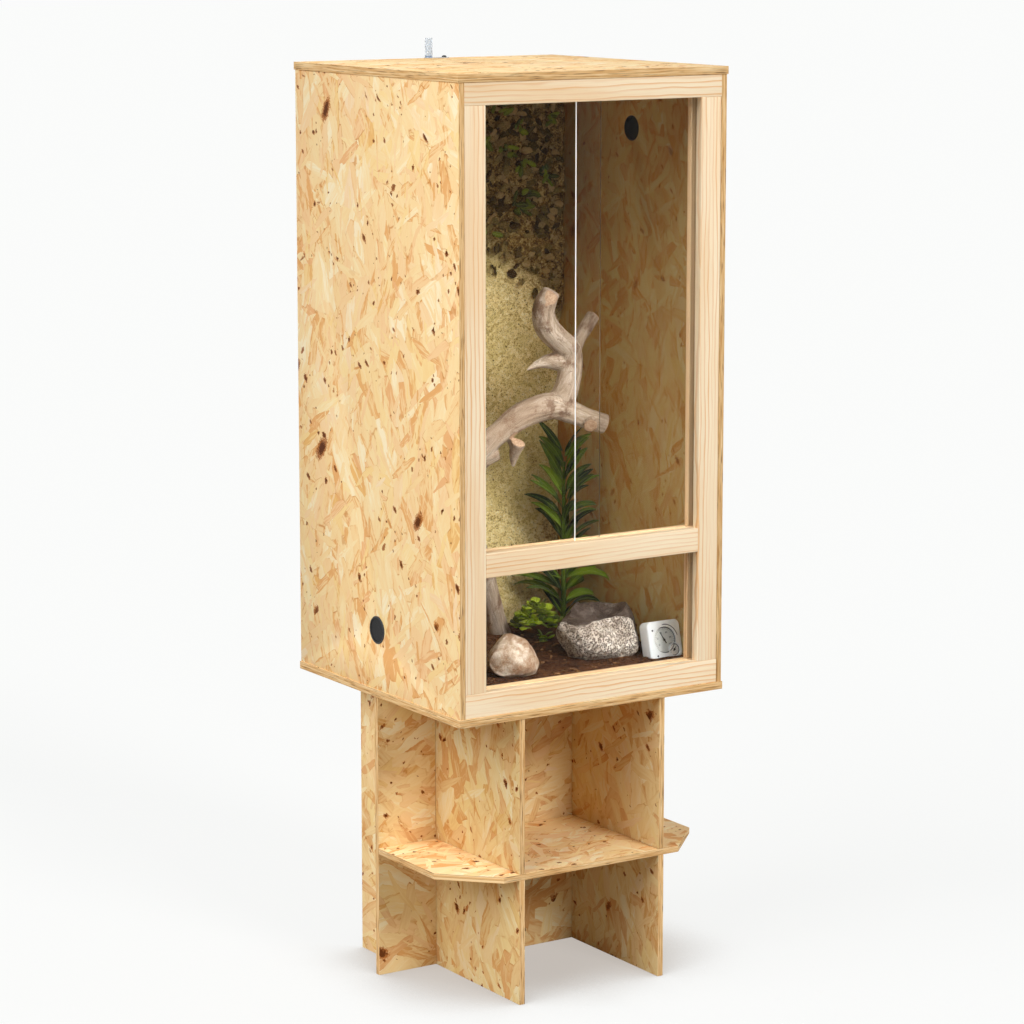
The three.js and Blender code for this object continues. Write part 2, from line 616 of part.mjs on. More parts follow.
/** Vine that hugs the cork from under the lid, with small heart-shaped leaves. */
function vine() {
  const count = 10;
  const path = Array.from({ length: count }, (_, k) => {
    const t = k / (count - 1);
    const x = INNER_X * (0.68 + 0.12 * Math.sin(5.5 * t));
    const z = CEILING_Z - 30 - VINE_DROP * t;
    return [x, corkFront(x, z, 12) - VINE_R - VINE_GAP, z, VINE_R * (1 - 0.3 * t)];
  });
  const leaves = path.slice(1, -1).flatMap(([x, y, z], k) => [-1, 1].map((side) => blade(
    new THREE.Vector3(x, y, z),
    {
      azimuth: -Math.PI / 2 + side * (0.75 + 0.35 * chance(k, side + 3)),
      length: 26 + 12 * chance(k, 5), width: 17 + 7 * chance(k, 9),
      rise: 0.5, bend: 1.3 + 0.6 * chance(k, 2), thick: 1.8, waist: 0.7, steps: 3,
    })));
  return join(woodTube(path, 5, 18, 0), ...leaves);
}

piece(cabinet, 'vine', vine(), vineLeaf);

// ---------------------------------------------------------------- places of the dressing
// Counted from the right side panel (east), from the background (deep) or the guides (near), and from the soil.

const fromEast = (distance) => INNER_X - distance;
const fromWall = (distance) => WALL_Y - distance;
const fromGlass = (distance) => GUIDE_Y + distance;

const stone = { x: fromEast(376), y: fromGlass(101), reach: 84 };
const dish = { x: fromEast(137), y: fromGlass(160), reach: 122 };
const plant = { x: fromEast(58), y: fromWall(108), reach: 40 };
const rosette = { x: fromEast(150), y: fromWall(150), reach: 40 };
const foot = { x: fromEast(182), y: fromWall(76), reach: 60 };
const gauge = { x: INNER_X - GAUGE_WALL_GAP - GAUGE_SIZE / 2, y: fromGlass(GAUGE_FROM_GLASS), reach: 76 };
const pads = [stone, dish, plant, rosette, foot, gauge];

/** Everything under the level that the dressing stands on. */
const belowGround = () => block(-HALF_W, HALF_W, -HALF_D, HALF_D, -STAND_H, GROUND_Z);

/** Height of the soil: low banks that level out where something stands. */
function soilRise(x, y) {
  const bank = 0.5 + 0.5 * Math.sin(x / 61 + 1.3) * Math.cos(y / 53 - 0.4) + 0.25 * Math.sin(x / 23 + y / 31);
  const level = pads.reduce((share, pad) =>
    share * smooth(pad.reach, pad.reach + 40, Math.hypot(x - pad.x, y - pad.y)), 1);
  return SOIL_RISE * Math.max(bank, 0) * level;
}

// ---------------------------------------------------------------- thermo-hygrometer

const gaugeSeat = new THREE.Group();
gaugeSeat.position.set(gauge.x, gauge.y, SOIL_Z + FIT);
gaugeSeat.rotation.x = -THREE.MathUtils.degToRad(GAUGE_LEAN);
cabinet.add(gaugeSeat);
const dialZ = GAUGE_SIZE / 2;

/** Square with round corners, standing on z = 0. */
function caseOutline(grow = 0) {
  const [half, r] = [GAUGE_SIZE / 2 + grow, GAUGE_CORNER];
  const corners = [[half - r, half - r, 0], [r - half, half - r, 1], [r - half, r - half, 2], [half - r, r - half, 3]];
  return corners.flatMap(([a, b, quarter]) => Array.from({ length: 6 }, (_, k) => {
    const turn = (quarter + k / 5) * (Math.PI / 2);
    return [a + r * Math.cos(turn), b + dialZ + r * Math.sin(turn)];
  }));
}

const dialCircle = (radius, sides = 40) => circle(radius, sides, 0, dialZ);
const smallCircle = (radius, sides = 28) => circle(radius, sides, SMALL_DIAL_X, dialZ + SMALL_DIAL_Z);
const caseFront = 2;              // rounding of the case's front edge
const caseBody = join(
  alongY(caseOutline(), caseFront, GAUGE_D),
  alongY(caseOutline(-caseFront * 0.35), caseFront * 0.3, caseFront + 1),
  alongY(caseOutline(-caseFront), 0, caseFront + 1));
piece(gaugeSeat, 'gauge_case', cut(caseBody,
  alongY(dialCircle(DIAL_R), -1, DIAL_DEPTH),
  alongY(smallCircle(SMALL_DIAL_R + BEZEL), -1, DIAL_DEPTH)), gaugePlastic);
piece(gaugeSeat, 'gauge_dial', cut(
  alongY(dialCircle(DIAL_R - FIT), DIAL_DEPTH - DIAL_T - FIT, DIAL_DEPTH - FIT),
  alongY(smallCircle(SMALL_DIAL_R + BEZEL), 0, DIAL_DEPTH + 1)), dialPaper);
piece(gaugeSeat, 'small_bezel', alongY(smallCircle(SMALL_DIAL_R + BEZEL - FIT), 0.4, DIAL_DEPTH - FIT,
  [smallCircle(SMALL_DIAL_R)]), gaugePlastic);
piece(gaugeSeat, 'small_dial', alongY(smallCircle(SMALL_DIAL_R - FIT), DIAL_DEPTH - DIAL_T - FIT, DIAL_DEPTH - FIT), dialPaper);

/** Flat needle with a round hub, a long point and a short tail, at an angle from upright. */
function needle(x, z, length, tail, width, angle) {
  const y0 = DIAL_DEPTH - DIAL_T - 2 * FIT - NEEDLE_T;
  const hand = [[-width / 2, -tail], [width / 2, -tail], [width * 0.2, length], [-width * 0.2, length]];
  const whole = join(alongY(hand, y0, y0 + NEEDLE_T), alongY(circle(PIVOT_R * 2, 16), y0, y0 + NEEDLE_T));
  return whole.rotateY(angle).translate(x, 0, z);
}

piece(gaugeSeat, 'main_needle', needle(0, dialZ, DIAL_R * 0.7, DIAL_R * 0.3, 2, -0.5), needleBlack);
piece(gaugeSeat, 'small_needle', needle(SMALL_DIAL_X, dialZ + SMALL_DIAL_Z, SMALL_DIAL_R * 0.7, SMALL_DIAL_R * 0.35,
  1.6, 0.7), needleBlack);
piece(gaugeSeat, 'gauge_lens', cut(
  alongY(dialCircle(DIAL_R - FIT), 1, 1 + LENS_T),
  alongY(smallCircle(SMALL_DIAL_R + BEZEL), -1, 4)), glass);

// ---------------------------------------------------------------- soil

const soilSlab = reliefSlab(SOIL_COLS, SOIL_ROWS, (u, v, far) => {
  const x = THREE.MathUtils.lerp(-INNER_X, INNER_X, u);
  const y = THREE.MathUtils.lerp(GUIDE_Y, WALL_Y - 2 * RELIEF_RIPPLE - FIT, v);
  return new THREE.Vector3(x, y, far ? SOIL_Z + soilRise(x, y) : FLOOR_Z);
});
const gaugePocket = alongY(caseOutline(FIT), -FIT, GAUGE_D + FIT);
gaugeSeat.updateMatrix();
gaugePocket.applyMatrix4(gaugeSeat.matrix);
piece(cabinet, 'soil', cut(soilSlab, gaugePocket), soil);

// ---------------------------------------------------------------- stones

piece(cabinet, 'pale_stone', boulder(new THREE.Vector3(...STONE_R), 3, 1.7, STONE_R[2] * 0.78)
  .translate(stone.x, stone.y, GROUND_Z), paleStone);

/** Hollow rock: a wide boulder with a tilted bowl sunk into its top. */
function rockDish() {
  const footing = DISH_R[2] * 0.6;
  const rock = boulder(new THREE.Vector3(...DISH_R), 4, 4.2, footing);
  const bowl = mergeVertices(stripped(new THREE.IcosahedronGeometry(1, 3)), 1e-5)
    .scale(...BOWL_R).rotateX(-0.12).translate(2, 8, footing + DISH_R[2] * 0.93);
  return cut(rock, bowl);
}

piece(cabinet, 'rock_dish', rockDish().translate(dish.x, dish.y, GROUND_Z), porousRock);

// ---------------------------------------------------------------- branch

/** Point of the branch: distance from the right panel, from the background, above the soil, and radius. */
const twig = (east, deep, up, r) => [fromEast(east), fromWall(deep), GROUND_Z + up, r];

/** Forked branch: a leg in the soil, a limb that runs to the right, a trunk with two sawn forks, a spur and stubs. */
function branch() {
  const leg = woodTube([
    twig(178, 72, -20, 25), twig(202, 84, 14, 23), twig(228, 102, 68, 22), twig(258, 124, 128, 22),
    twig(296, 152, 196, 23), twig(338, 178, 284, 23), twig(352, 192, 346, 24), twig(326, 200, 386, 25),
    twig(288, 208, 405, 24)], 9, 18);
  const limb = woodTube([
    twig(346, 202, 374, 18), twig(312, 210, 414, 24), twig(284, 215, 434, 24), twig(241, 220, 460, 26),
    twig(196, 224, 473, 29), twig(161, 228, 476, 29), twig(131, 234, 462, 23), twig(102, 244, 447, 20),
    twig(60, 261, 430, 19)], 9, 18);
  const trunk = woodTube([
    twig(157, 226, 472, 27), twig(136, 222, 508, 24), twig(123, 218, 540, 24), twig(121, 216, 572, 24),
    twig(136, 217, 597, 25), twig(168, 225, 618, 25), twig(192, 236, 644, 24), twig(204, 246, 672, 23),
    twig(203, 257, 697, 22)], 9, 18);
  const fork = woodTube([
    twig(126, 214, 574, 19), twig(104, 208, 596, 15), twig(80, 202, 620, 13), twig(58, 196, 641, 12)], 8, 8);
  const spur = woodTube([
    twig(136, 216, 566, 15), twig(172, 224, 574, 11), twig(210, 234, 564, 7), twig(236, 242, 554, 3)], 8, 6);
  const stub = woodTube([
    twig(84, 250, 440, 14), twig(90, 262, 433, 14), twig(94, 274, 427, 13)], 8, 4);
  const knot = woodTube([
    twig(256, 228, 366, 3), twig(260, 225, 388, 10), twig(269, 219, 418, 13)], 8, 5);
  const whole = join(leg, limb, trunk, fork, spur, stub, knot);
  return cut(whole, belowGround());
}

piece(cabinet, 'branch', branch(), driftwood);

// ---------------------------------------------------------------- plants

/** Upright plant: a straight stem with whorls of strap leaves, longer and more arched low down. */
function uprightPlant() {
  const root = new THREE.Vector3(plant.x, plant.y, GROUND_Z);
  const stem = woodTube([
    [root.x, root.y, root.z - 10, STEM_R * 1.6], [root.x, root.y, root.z + 30, STEM_R],
    [root.x, root.y, root.z + PLANT_H * 0.6, STEM_R * 0.8], [root.x, root.y, root.z + PLANT_H, STEM_R * 0.4]],
  8, 8, 0);
  const whorls = 9;
  const leaves = [];
  for (let w = 0; w < whorls; w += 1) {
    const t = w / (whorls - 1);
    const count = w < 2 ? 4 : 3;
    for (let k = 0; k < count; k += 1) {
      const azimuth = (k / count) * Math.PI * 2 + w * 1.1;
      const room = azimuthRoom(azimuth, plant);
      leaves.push(blade(new THREE.Vector3(root.x, root.y, root.z + 40 + (PLANT_H * 0.83) * t), {
        azimuth,
        length: Math.min(PLANT_LEAF * (1 - 0.4 * t), room), width: PLANT_LEAF_W * (1 - 0.25 * t),
        rise: 1.05 + 0.25 * t, bend: 1.5 - 0.7 * t, thick: 2.6, waist: 0.75, steps: 3,
      }));
    }
  }
  const whole = join(stem, ...leaves);
  return cut(whole, belowGround());
}

/** Longest leaf that stays off the right panel and the background. */
function azimuthRoom(azimuth, at) {
  const toEast = Math.cos(azimuth) > 0.05 ? (INNER_X - at.x - 6) / Math.cos(azimuth) : Infinity;
  const toWall = Math.sin(azimuth) > 0.05 ? (WALL_Y - 6 - at.y) / Math.sin(azimuth) : Infinity;
  return Math.min(toEast, toWall) * 1.12;
}

/** Rosette of round leaves on short stalks. */
function rosettePlant() {
  const root = new THREE.Vector3(rosette.x, rosette.y, GROUND_Z);
  const heart = woodTube([
    [root.x, root.y, root.z - 8, 12], [root.x, root.y, root.z + ROSETTE_H * 0.4, 11],
    [root.x, root.y, root.z + ROSETTE_H, 6]], 8, 4, 0);
  const count = 13;
  const leaves = Array.from({ length: count }, (_, k) => blade(
    new THREE.Vector3(root.x, root.y, root.z + ROSETTE_H * (0.45 + (0.5 * k) / count)),
    {
      azimuth: k * 2.4, length: ROSETTE_LEAF * (1 - 0.35 * (k / count)), width: ROSETTE_LEAF_W * (1 - 0.3 * (k / count)),
      rise: 0.35 + 0.06 * k, bend: 0.7, thick: 2.8, waist: 1.5, steps: 4,
    }));
  const whole = join(heart, ...leaves);
  return cut(whole, belowGround());
}

piece(cabinet, 'upright_plant', uprightPlant(), darkLeaf);
piece(cabinet, 'rosette_plant', rosettePlant(), lightLeaf);

// ---------------------------------------------------------------- stand

const standX = HALF_W - STAND_INSET;
const standFront = -HALF_D + STAND_INSET;
const crossFront = CROSS_Y - STAND_BOARD / 2;
const crossBack = CROSS_Y + STAND_BOARD / 2;
const plateX = PLATE_SPACING / 2;
const rearX = standX - REAR_INSET;
const shelfBottom = SHELF_Z - STAND_BOARD;
const lapY = (standFront + crossFront) / 2;         // where the shelf's slots meet those of the plates
const lapZ = STAND_H / 2;                           // where the cross plate's slots meet those of the plates
const slotHalf = STAND_BOARD / 2 + FIT;

/** Front plate: slotted from the front for the shelf and from below for the cross plate. */
function frontPlate(side) {
  const x = side * plateX;
  return cut(
    block(x - STAND_BOARD / 2, x + STAND_BOARD / 2, standFront, crossBack + PLATE_TAIL, 0, STAND_H),
    block(x - STAND_BOARD, x + STAND_BOARD, standFront - 1, lapY + FIT, shelfBottom - FIT, SHELF_Z + FIT),
    block(x - STAND_BOARD, x + STAND_BOARD, crossFront - FIT, crossBack + FIT, -1, lapZ + FIT));
}

/** Cross plate: slotted from above for the front plates, grooved behind for the rear ones, pierced for the shelf. */
function crossPlate() {
  const slots = [-1, 1].map((side) =>
    block(side * plateX - slotHalf, side * plateX + slotHalf, crossFront - 1, crossBack + 1, lapZ - FIT, STAND_H + 1));
  const grooves = [-1, 1].map((side) =>
    block(side * rearX - slotHalf, side * rearX + slotHalf, crossBack - DADO, crossBack + 1, -1, STAND_H + 1));
  const mouth = block(-SHELF_TAB / 2 - FIT, SHELF_TAB / 2 + FIT, crossFront - 1, crossBack + 1,
    shelfBottom - FIT, SHELF_Z + FIT);
  return cut(block(-standX, standX, crossFront, crossBack, 0, STAND_H), ...slots, ...grooves, mouth);
}

/** Shelf: two cut corners in front, slots from behind for the front plates, a tab through the cross plate. */
function shelf() {
  const c = SHELF_CHAMFER;
  const back = crossFront - FIT;
  const slot = (x) => [[x + slotHalf, back], [x + slotHalf, lapY - FIT], [x - slotHalf, lapY - FIT], [x - slotHalf, back]];
  const outline = [
    [-standX, standFront + c], [-standX + c, standFront], [standX - c, standFront], [standX, standFront + c],
    [standX, back], ...slot(plateX),
    [SHELF_TAB / 2, back], [SHELF_TAB / 2, crossBack], [-SHELF_TAB / 2, crossBack], [-SHELF_TAB / 2, back],
    ...slot(-plateX), [-standX, back]];
  return alongZ(outline, shelfBottom, SHELF_Z);
}

piece(stand, 'stand_cross_plate', crossPlate(), strandBoard);
piece(stand, 'stand_left_plate', frontPlate(-1), strandBoard);
piece(stand, 'stand_right_plate', frontPlate(1), strandBoard);
for (const [name, side] of [['left', -1], ['right', 1]]) {
  piece(stand, `stand_rear_${name}_plate`, block(
    side * rearX - STAND_BOARD / 2, side * rearX + STAND_BOARD / 2,
    crossBack - DADO + FIT, crossBack + REAR_L, 0, STAND_H), strandBoard);
}
piece(stand, 'stand_shelf', shelf(), strandBoard);

export default terrarium;
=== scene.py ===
import itertools
import json
import logging
import math
from collections.abc import Sequence
from dataclasses import dataclass, field
from enum import Enum

import bmesh
import bpy
import numpy as np
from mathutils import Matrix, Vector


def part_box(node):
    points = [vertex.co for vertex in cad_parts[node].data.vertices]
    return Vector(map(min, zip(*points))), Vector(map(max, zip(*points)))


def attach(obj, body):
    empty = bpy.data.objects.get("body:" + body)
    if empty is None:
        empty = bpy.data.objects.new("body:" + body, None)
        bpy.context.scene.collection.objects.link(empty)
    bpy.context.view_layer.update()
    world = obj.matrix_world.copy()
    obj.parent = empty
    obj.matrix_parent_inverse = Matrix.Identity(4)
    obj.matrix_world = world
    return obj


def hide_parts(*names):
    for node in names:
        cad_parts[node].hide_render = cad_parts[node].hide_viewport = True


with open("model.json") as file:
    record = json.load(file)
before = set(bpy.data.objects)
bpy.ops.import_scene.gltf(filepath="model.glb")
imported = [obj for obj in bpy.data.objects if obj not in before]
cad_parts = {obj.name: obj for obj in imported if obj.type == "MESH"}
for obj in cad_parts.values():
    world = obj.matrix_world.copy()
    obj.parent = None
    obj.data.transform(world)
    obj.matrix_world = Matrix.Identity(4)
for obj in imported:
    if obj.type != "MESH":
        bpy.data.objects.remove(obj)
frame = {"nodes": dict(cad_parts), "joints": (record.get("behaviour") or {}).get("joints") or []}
log = logging.getLogger("terrarium_cabinet")

Colour = tuple[float, float, float, float]
Triple = tuple[float, float, float]
Pair = tuple[float, float]
Array = np.ndarray
Shape = tuple[Array, list[Array]]
Out = bpy.types.NodeSocket
Piece = bpy.types.Object
Mesh = bpy.types.Mesh
Feed = Out | float | tuple[float, ...]

MM = 0.001
STATIC_BODY = "cabinet"


def display(red: float, green: float, blue: float) -> Colour:
    """Linear colour of a colour written as it shows on a display, 0 to 255 a channel."""
    share = np.array([red, green, blue]) / 255
    straight = np.where(share <= 0.04045, share / 12.92, ((share + 0.055) / 1.055) ** 2.4)
    return (*(float(channel) for channel in straight), 1.0)


# ---- numbers over space


def hashed(cells: Array, seed: int) -> Array:
    """Repeatable random numbers: the three whole numbers of a cell are multiplied, mixed and shifted.

    Args:
        cells: Whole numbers, three on the last axis.
        seed: Picks another set.

    Returns:
        A number from 0 to 1 for each cell.
    """
    x, y, z = (cells[..., k].astype(np.int64).astype(np.uint64) for k in range(3))
    mixed = x * np.uint64(0x9E3779B97F4A7C15) ^ y * np.uint64(0xC2B2AE3D27D4EB4F) ^ z * np.uint64(0x165667B19E3779F9)
    mixed = (mixed ^ np.uint64(seed * 7919 + 101)) * np.uint64(0x7FB5D329728EA185)
    mixed = (mixed ^ (mixed >> np.uint64(31))) * np.uint64(0x9E3779B97F4A7C15)
    return ((mixed ^ (mixed >> np.uint64(29))) >> np.uint64(40)).astype(float) / (1 << 24)


def noise(points: Array, pitch: float, seed: int, octaves: int = 1) -> Array:
    """Smooth noise: random values at the corners of cubes of side pitch, eased between them, halved at each octave.

    Args:
        points: Places, x, y, z on the last axis.
        pitch: Side of the largest cubes.
        seed: Picks another pattern.
        octaves: Sizes of cube added up.

    Returns:
        Numbers around 0, from about -1 to 1.
    """
    total = np.zeros(points.shape[:-1])
    weight_sum = 0.0
    for octave in range(octaves):
        scaled = points / (pitch / 2**octave)
        low = np.floor(scaled).astype(np.int64)
        part = scaled - low
        ease = part * part * (3 - 2 * part)
        value = np.zeros(points.shape[:-1])
        for corner in itertools.product((0, 1), repeat=3):
            share = np.prod(np.where(np.array(corner) == 1, ease, 1 - ease), axis=-1)
            value += share * hashed(low + np.array(corner), seed + octave)
        total += (2 * value - 1) / 2**octave
        weight_sum += 1 / 2**octave
    return total / weight_sum


def smooth_step(low: float, high: float, value: Array) -> Array:
    """Share from 0 to 1 between low and high, eased at both ends as 3t^2 - 2t^3."""
    part = np.clip((value - low) / (high - low), 0, 1)
    return part * part * (3 - 2 * part)


def rows_of(*columns: Array) -> Array:
    """Equal arrays side by side along a new last axis."""
    return np.stack(columns, axis=-1)


def unit(vectors: Array) -> Array:
    """Vectors scaled to length 1 along the last axis."""
    return vectors / np.maximum(np.linalg.norm(vectors, axis=-1, keepdims=True), 1e-12)


# ---- surfaces


def quads(rows: int, columns: int, wrap: bool = False) -> Array:
    """Corners of the quads between neighbouring points of a grid, row after row.

    Args:
        rows: Points along the grid.
        columns: Points across it.
        wrap: Joins the last column to the first.

    Returns:
        Four point numbers for each quad.
    """
    row, column = np.meshgrid(np.arange(rows - 1), np.arange(columns if wrap else columns - 1), indexing="ij")
    beside = (column + 1) % columns
    corners = (row * columns + column, row * columns + beside, (row + 1) * columns + beside,
        (row + 1) * columns + column)
    return np.stack(corners, axis=-1).reshape(-1, 4)


def linked(name: str, data: bpy.types.ID) -> Piece:
    """New object of the data, in the scene."""
    made = bpy.data.objects.new(name, data)
    bpy.context.scene.collection.objects.link(made)
    return made


def mesh_piece(name: str, points: Array, faces: Sequence[Array], smooth: bool = True) -> Piece:
    """Object at the origin whose mesh holds the points and faces as they are.

    Args:
        name: Name of the piece.
        points: Places in metres.
        faces: Arrays of point numbers, one for each number of corners.
        smooth: Shades the faces smoothly.

    Returns:
        The linked object.
    """
    mesh = bpy.data.meshes.new(name)
    mesh.vertices.add(len(points))
    mesh.vertices.foreach_set("co", np.ascontiguousarray(points, np.float32).ravel())
    corners = np.concatenate([f.ravel() for f in faces]).astype(np.int32)
    sides = np.concatenate([np.full(len(f), f.shape[1]) for f in faces])
    mesh.loops.add(len(corners))
    mesh.loops.foreach_set("vertex_index", corners)
    mesh.polygons.add(len(sides))
    mesh.polygons.foreach_set("loop_start", (np.cumsum(sides) - sides).astype(np.int32))
    mesh.update(calc_edges=True)
    mesh.validate()
    mesh.polygons.foreach_set("use_smooth", np.full(len(mesh.polygons), smooth))
    return linked(name, mesh)


def each_grid(count: int, rows: int, columns: int, wrap: bool = False) -> Array:
    """Quads of many equal grids whose points follow one another; the arguments are those of quads()."""
    return (quads(rows, columns, wrap)[None] + (np.arange(count) * rows * columns)[:, None, None]).reshape(-1, 4)


def slab(name: str, front: Array, axis: int, depth: float) -> Piece:
    """Closed sheet: a grid of points, its copy flattened to one depth, and a skirt between their borders.

    Args:
        name: Name of the piece.
        front: Points of the relief, rows by columns.
        axis: Axis along which the back is flat.
        depth: Place of the back on it.

    Returns:
        The linked object.
    """
    rows, columns = front.shape[:2]
    back = front.copy()
    back[..., axis] = depth
    count = rows * columns
    grid = np.arange(count).reshape(rows, columns)
    rim = np.concatenate([grid[0, :-1], grid[:-1, -1], grid[-1, :0:-1], grid[:0:-1, 0]])
    skirt = rows_of(rim, rim + count, np.roll(rim, -1) + count, np.roll(rim, -1))
    block = quads(rows, columns)
    points = np.vstack([front.reshape(-1, 3), back.reshape(-1, 3)])
    return mesh_piece(name, points, [np.vstack([block, block[:, ::-1] + count, skirt])])


def points_of(mesh: Mesh, what: str = "co") -> Array:
    """Places (or with "normal" the normals) of a mesh's points, one a row."""
    values = np.empty(len(mesh.vertices) * 3, np.float32)
    mesh.vertices.foreach_get(what, values)
    return values.reshape(-1, 3).astype(float)


def face_normals(mesh: Mesh) -> Array:
    """Normals of a mesh's faces, one a row."""
    values = np.empty(len(mesh.polygons) * 3, np.float32)
    mesh.polygons.foreach_get("normal", values)
    return values.reshape(-1, 3)


def set_points(mesh: Mesh, points: Array) -> None:
    """Moves a mesh's points to new places."""
    mesh.vertices.foreach_set("co", points.astype(np.float32).ravel())
    mesh.update()


def store(mesh: Mesh, name: str, values: Array) -> None:
    """Keeps a number (one column) or a vector (three columns) at each point under a name, for the materials."""
    vector = values.ndim == 2
    made = mesh.attributes.new(name, "FLOAT_VECTOR" if vector else "FLOAT", "POINT")
    made.data.foreach_set("vector" if vector else "value", values.astype(np.float32).ravel())


def grid_uv(mesh: Mesh, across: Array, along: Array) -> None:
    """Writes a UV map from two numbers held at each point."""
    numbers = np.empty(len(mesh.loops), np.int32)
    mesh.loops.foreach_get("vertex_index", numbers)
    layer = mesh.uv_layers.new(name="UVMap")
    layer.uv.foreach_set("vector", rows_of(across[numbers], along[numbers]).astype(np.float32).ravel())


def spline(stations: Array, per_span: int) -> Array:
    """Smooth line through the stations: between two of them a cubic that leaves along the chord of their neighbours.

    Args:
        stations: Rows to pass through, place and radius.
        per_span: Points from one station to the next.

    Returns:
        The line, ending on the last station.
    """
    padded = np.vstack([2 * stations[0] - stations[1], stations, 2 * stations[-1] - stations[-2]])
    before, start, end, after = padded[:-3], padded[1:-2], padded[2:-1], padded[3:]
    t = (np.arange(per_span) / per_span)[None, :, None]
    a, b, c, d = (part[:, None, :] for part in (before, start, end, after))
    line = 0.5 * (2 * b + (c - a) * t + (2 * a - 5 * b + 4 * c - d) * t**2 + (3 * b - a - 3 * c + d) * t**3)
    return np.vstack([line.reshape(-1, stations.shape[1]), stations[-1:]])


def tube(line: Array, radii: Array, sides: int) -> Shape:
    """Round tube: at each point of the line a circle across its direction, both ends closed by a fan.

    Args:
        line: Centre line.
        radii: Radius at each of its points.
        sides: Points round a circle.

    Returns:
        Points and faces.
    """
    run = unit(np.gradient(line, axis=0))
    guide = np.eye(3)[np.argmin(np.abs(run.mean(axis=0)))]
    side = unit(np.cross(run, guide))
    up = np.cross(side, run)
    turn = np.linspace(0, 2 * math.pi, sides, endpoint=False)
    ring = np.cos(turn)[None, :, None] * side[:, None] + np.sin(turn)[None, :, None] * up[:, None]
    rows = line[:, None] + radii[:, None, None] * ring
    count = len(line) * sides
    points = np.vstack([rows.reshape(-1, 3), line[:1], line[-1:]])
    here, beside = np.arange(sides), (np.arange(sides) + 1) % sides
    first = rows_of(beside, here, np.full(sides, count))
    last = rows_of(count - sides + here, count - sides + beside, np.full(sides, count + 1))
    return points, [quads(len(line), sides, wrap=True), np.vstack([first, last])]


def turned(profile: Array, sides: int) -> Shape:
    """Closed ring turned about Z: each (radius, height) point of a closed profile runs round in equal steps.

    Args:
        profile: Corners of the section, in order round it.
        sides: Steps round the axis.

    Returns:
        Points and faces.
    """
    turn = np.linspace(0, 2 * math.pi, sides, endpoint=False)
    around = rows_of(np.cos(turn), np.sin(turn))
    flat = profile[:, None, :1] * around[None]
    height = np.broadcast_to(profile[:, None, 1:], (*flat.shape[:2], 1))
    points = np.concatenate([flat, height], axis=-1)
    closed = quads(len(profile) + 1, sides, wrap=True) % (len(profile) * sides)
    return points.reshape(-1, 3), [closed]


def together(parts: Sequence[Shape]) -> Shape:
    """Several shapes as one list of points and faces, the point numbers of each moved on past the last.

    Args:
        parts: Points and faces of each shape.

    Returns:
        The joined points and faces.
    """
    points, by_sides, start = [], {}, 0
    for places, faces in parts:
        points.append(places)
        for block in faces:
            by_sides.setdefault(block.shape[1], []).append(block + start)
        start += len(places)
    return np.vstack(points), [np.vstack(blocks) for blocks in by_sides.values()]


def remeshed(piece: Piece, voxel: float, smoothing: int) -> None:
    """Makes crossing closed shapes one skin of even quads, and rounds its creases.

    Args:
        piece: Object to change.
        voxel: Side of the quads.
        smoothing: Rounds of averaging with the neighbours.
    """
    remesh = piece.modifiers.new("one_skin", "REMESH")
    remesh.mode = "VOXEL"
    remesh.voxel_size = voxel
    remesh.use_smooth_shade = True
    rounding = piece.modifiers.new("rounding", "SMOOTH")
    rounding.factor = 0.5
    rounding.iterations = smoothing
    mesh = bpy.data.meshes.new_from_object(piece.evaluated_get(bpy.context.evaluated_depsgraph_get()))
    piece.modifiers.clear()
    piece.data = mesh


def displaced(piece: Piece, depth: Array) -> None:
    """Moves each point of a piece along its normal by its own depth."""
    mesh = piece.data
    set_points(mesh, points_of(mesh) + points_of(mesh, "normal") * depth[:, None])


def welded_copy(node: str) -> Piece:
    """Copy of a CAD node with its loose triangles joined and flat ones merged, which stands for the node."""
    source, name = frame["nodes"][node], f"{node}_dressed"
    mesh = bpy.data.meshes.new(name)
    work = bmesh.new()
    work.from_mesh(source.data)
    bmesh.ops.remove_doubles(work, verts=work.verts, dist=0.01 * MM)
    bmesh.ops.dissolve_limit(work, angle_limit=math.radians(1), verts=work.verts, edges=work.edges)
    for face in work.faces:
        face.smooth = False
    work.to_mesh(mesh)
    work.free()
    made = linked(name, mesh)
    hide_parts(node)
    return made


def eased(piece: Piece, width: float, segments: int = 2, sharp: float = 40.0) -> None:
    """Rounds a piece's sharp edges.

    Args:
        piece: Object to change.
        width: Width of the rounding.
        segments: Steps round it.
        sharp: Angle from which an edge is rounded, in degrees.
    """
    bevel = piece.modifiers.new("eased_edges", "BEVEL")
    bevel.width = width
    bevel.segments = segments
    bevel.limit_method = "ANGLE"
    bevel.angle_limit = math.radians(sharp)
    bevel.harden_normals = True
    piece.data.polygons.foreach_set("use_smooth", np.full(len(piece.data.polygons), True))


def deliver(piece: Piece, materials: Sequence[bpy.types.Material], body: str = STATIC_BODY) -> None:
    """Gives a finished piece its materials and its body, and logs it.

    Args:
        piece: The finished object.
        materials: Materials by their number in the mesh.
        body: CAD body that it moves with.
    """
    piece.data.materials.clear()
    for material in materials:
        piece.data.materials.append(material)
    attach(piece, body)
    log.info("%s: %d faces, rides %s", piece.name, len(piece.data.polygons), body)


def dressed(
    node: str, ease: float, material: bpy.types.Material, body: str = STATIC_BODY, segments: int = 2,
    sharp: float = 40.0,
) -> None:
    """Delivers an eased copy of a CAD node.

    Args:
        node: Name of the node.
        ease: Width of the rounding.
        material: Its material.
        body: CAD body that it moves with.
        segments: Steps round the rounding.
        sharp: Angle from which an edge is rounded, in degrees.
    """
    piece = welded_copy(node)
    eased(piece, ease, segments, sharp)
    deliver(piece, [material], body)


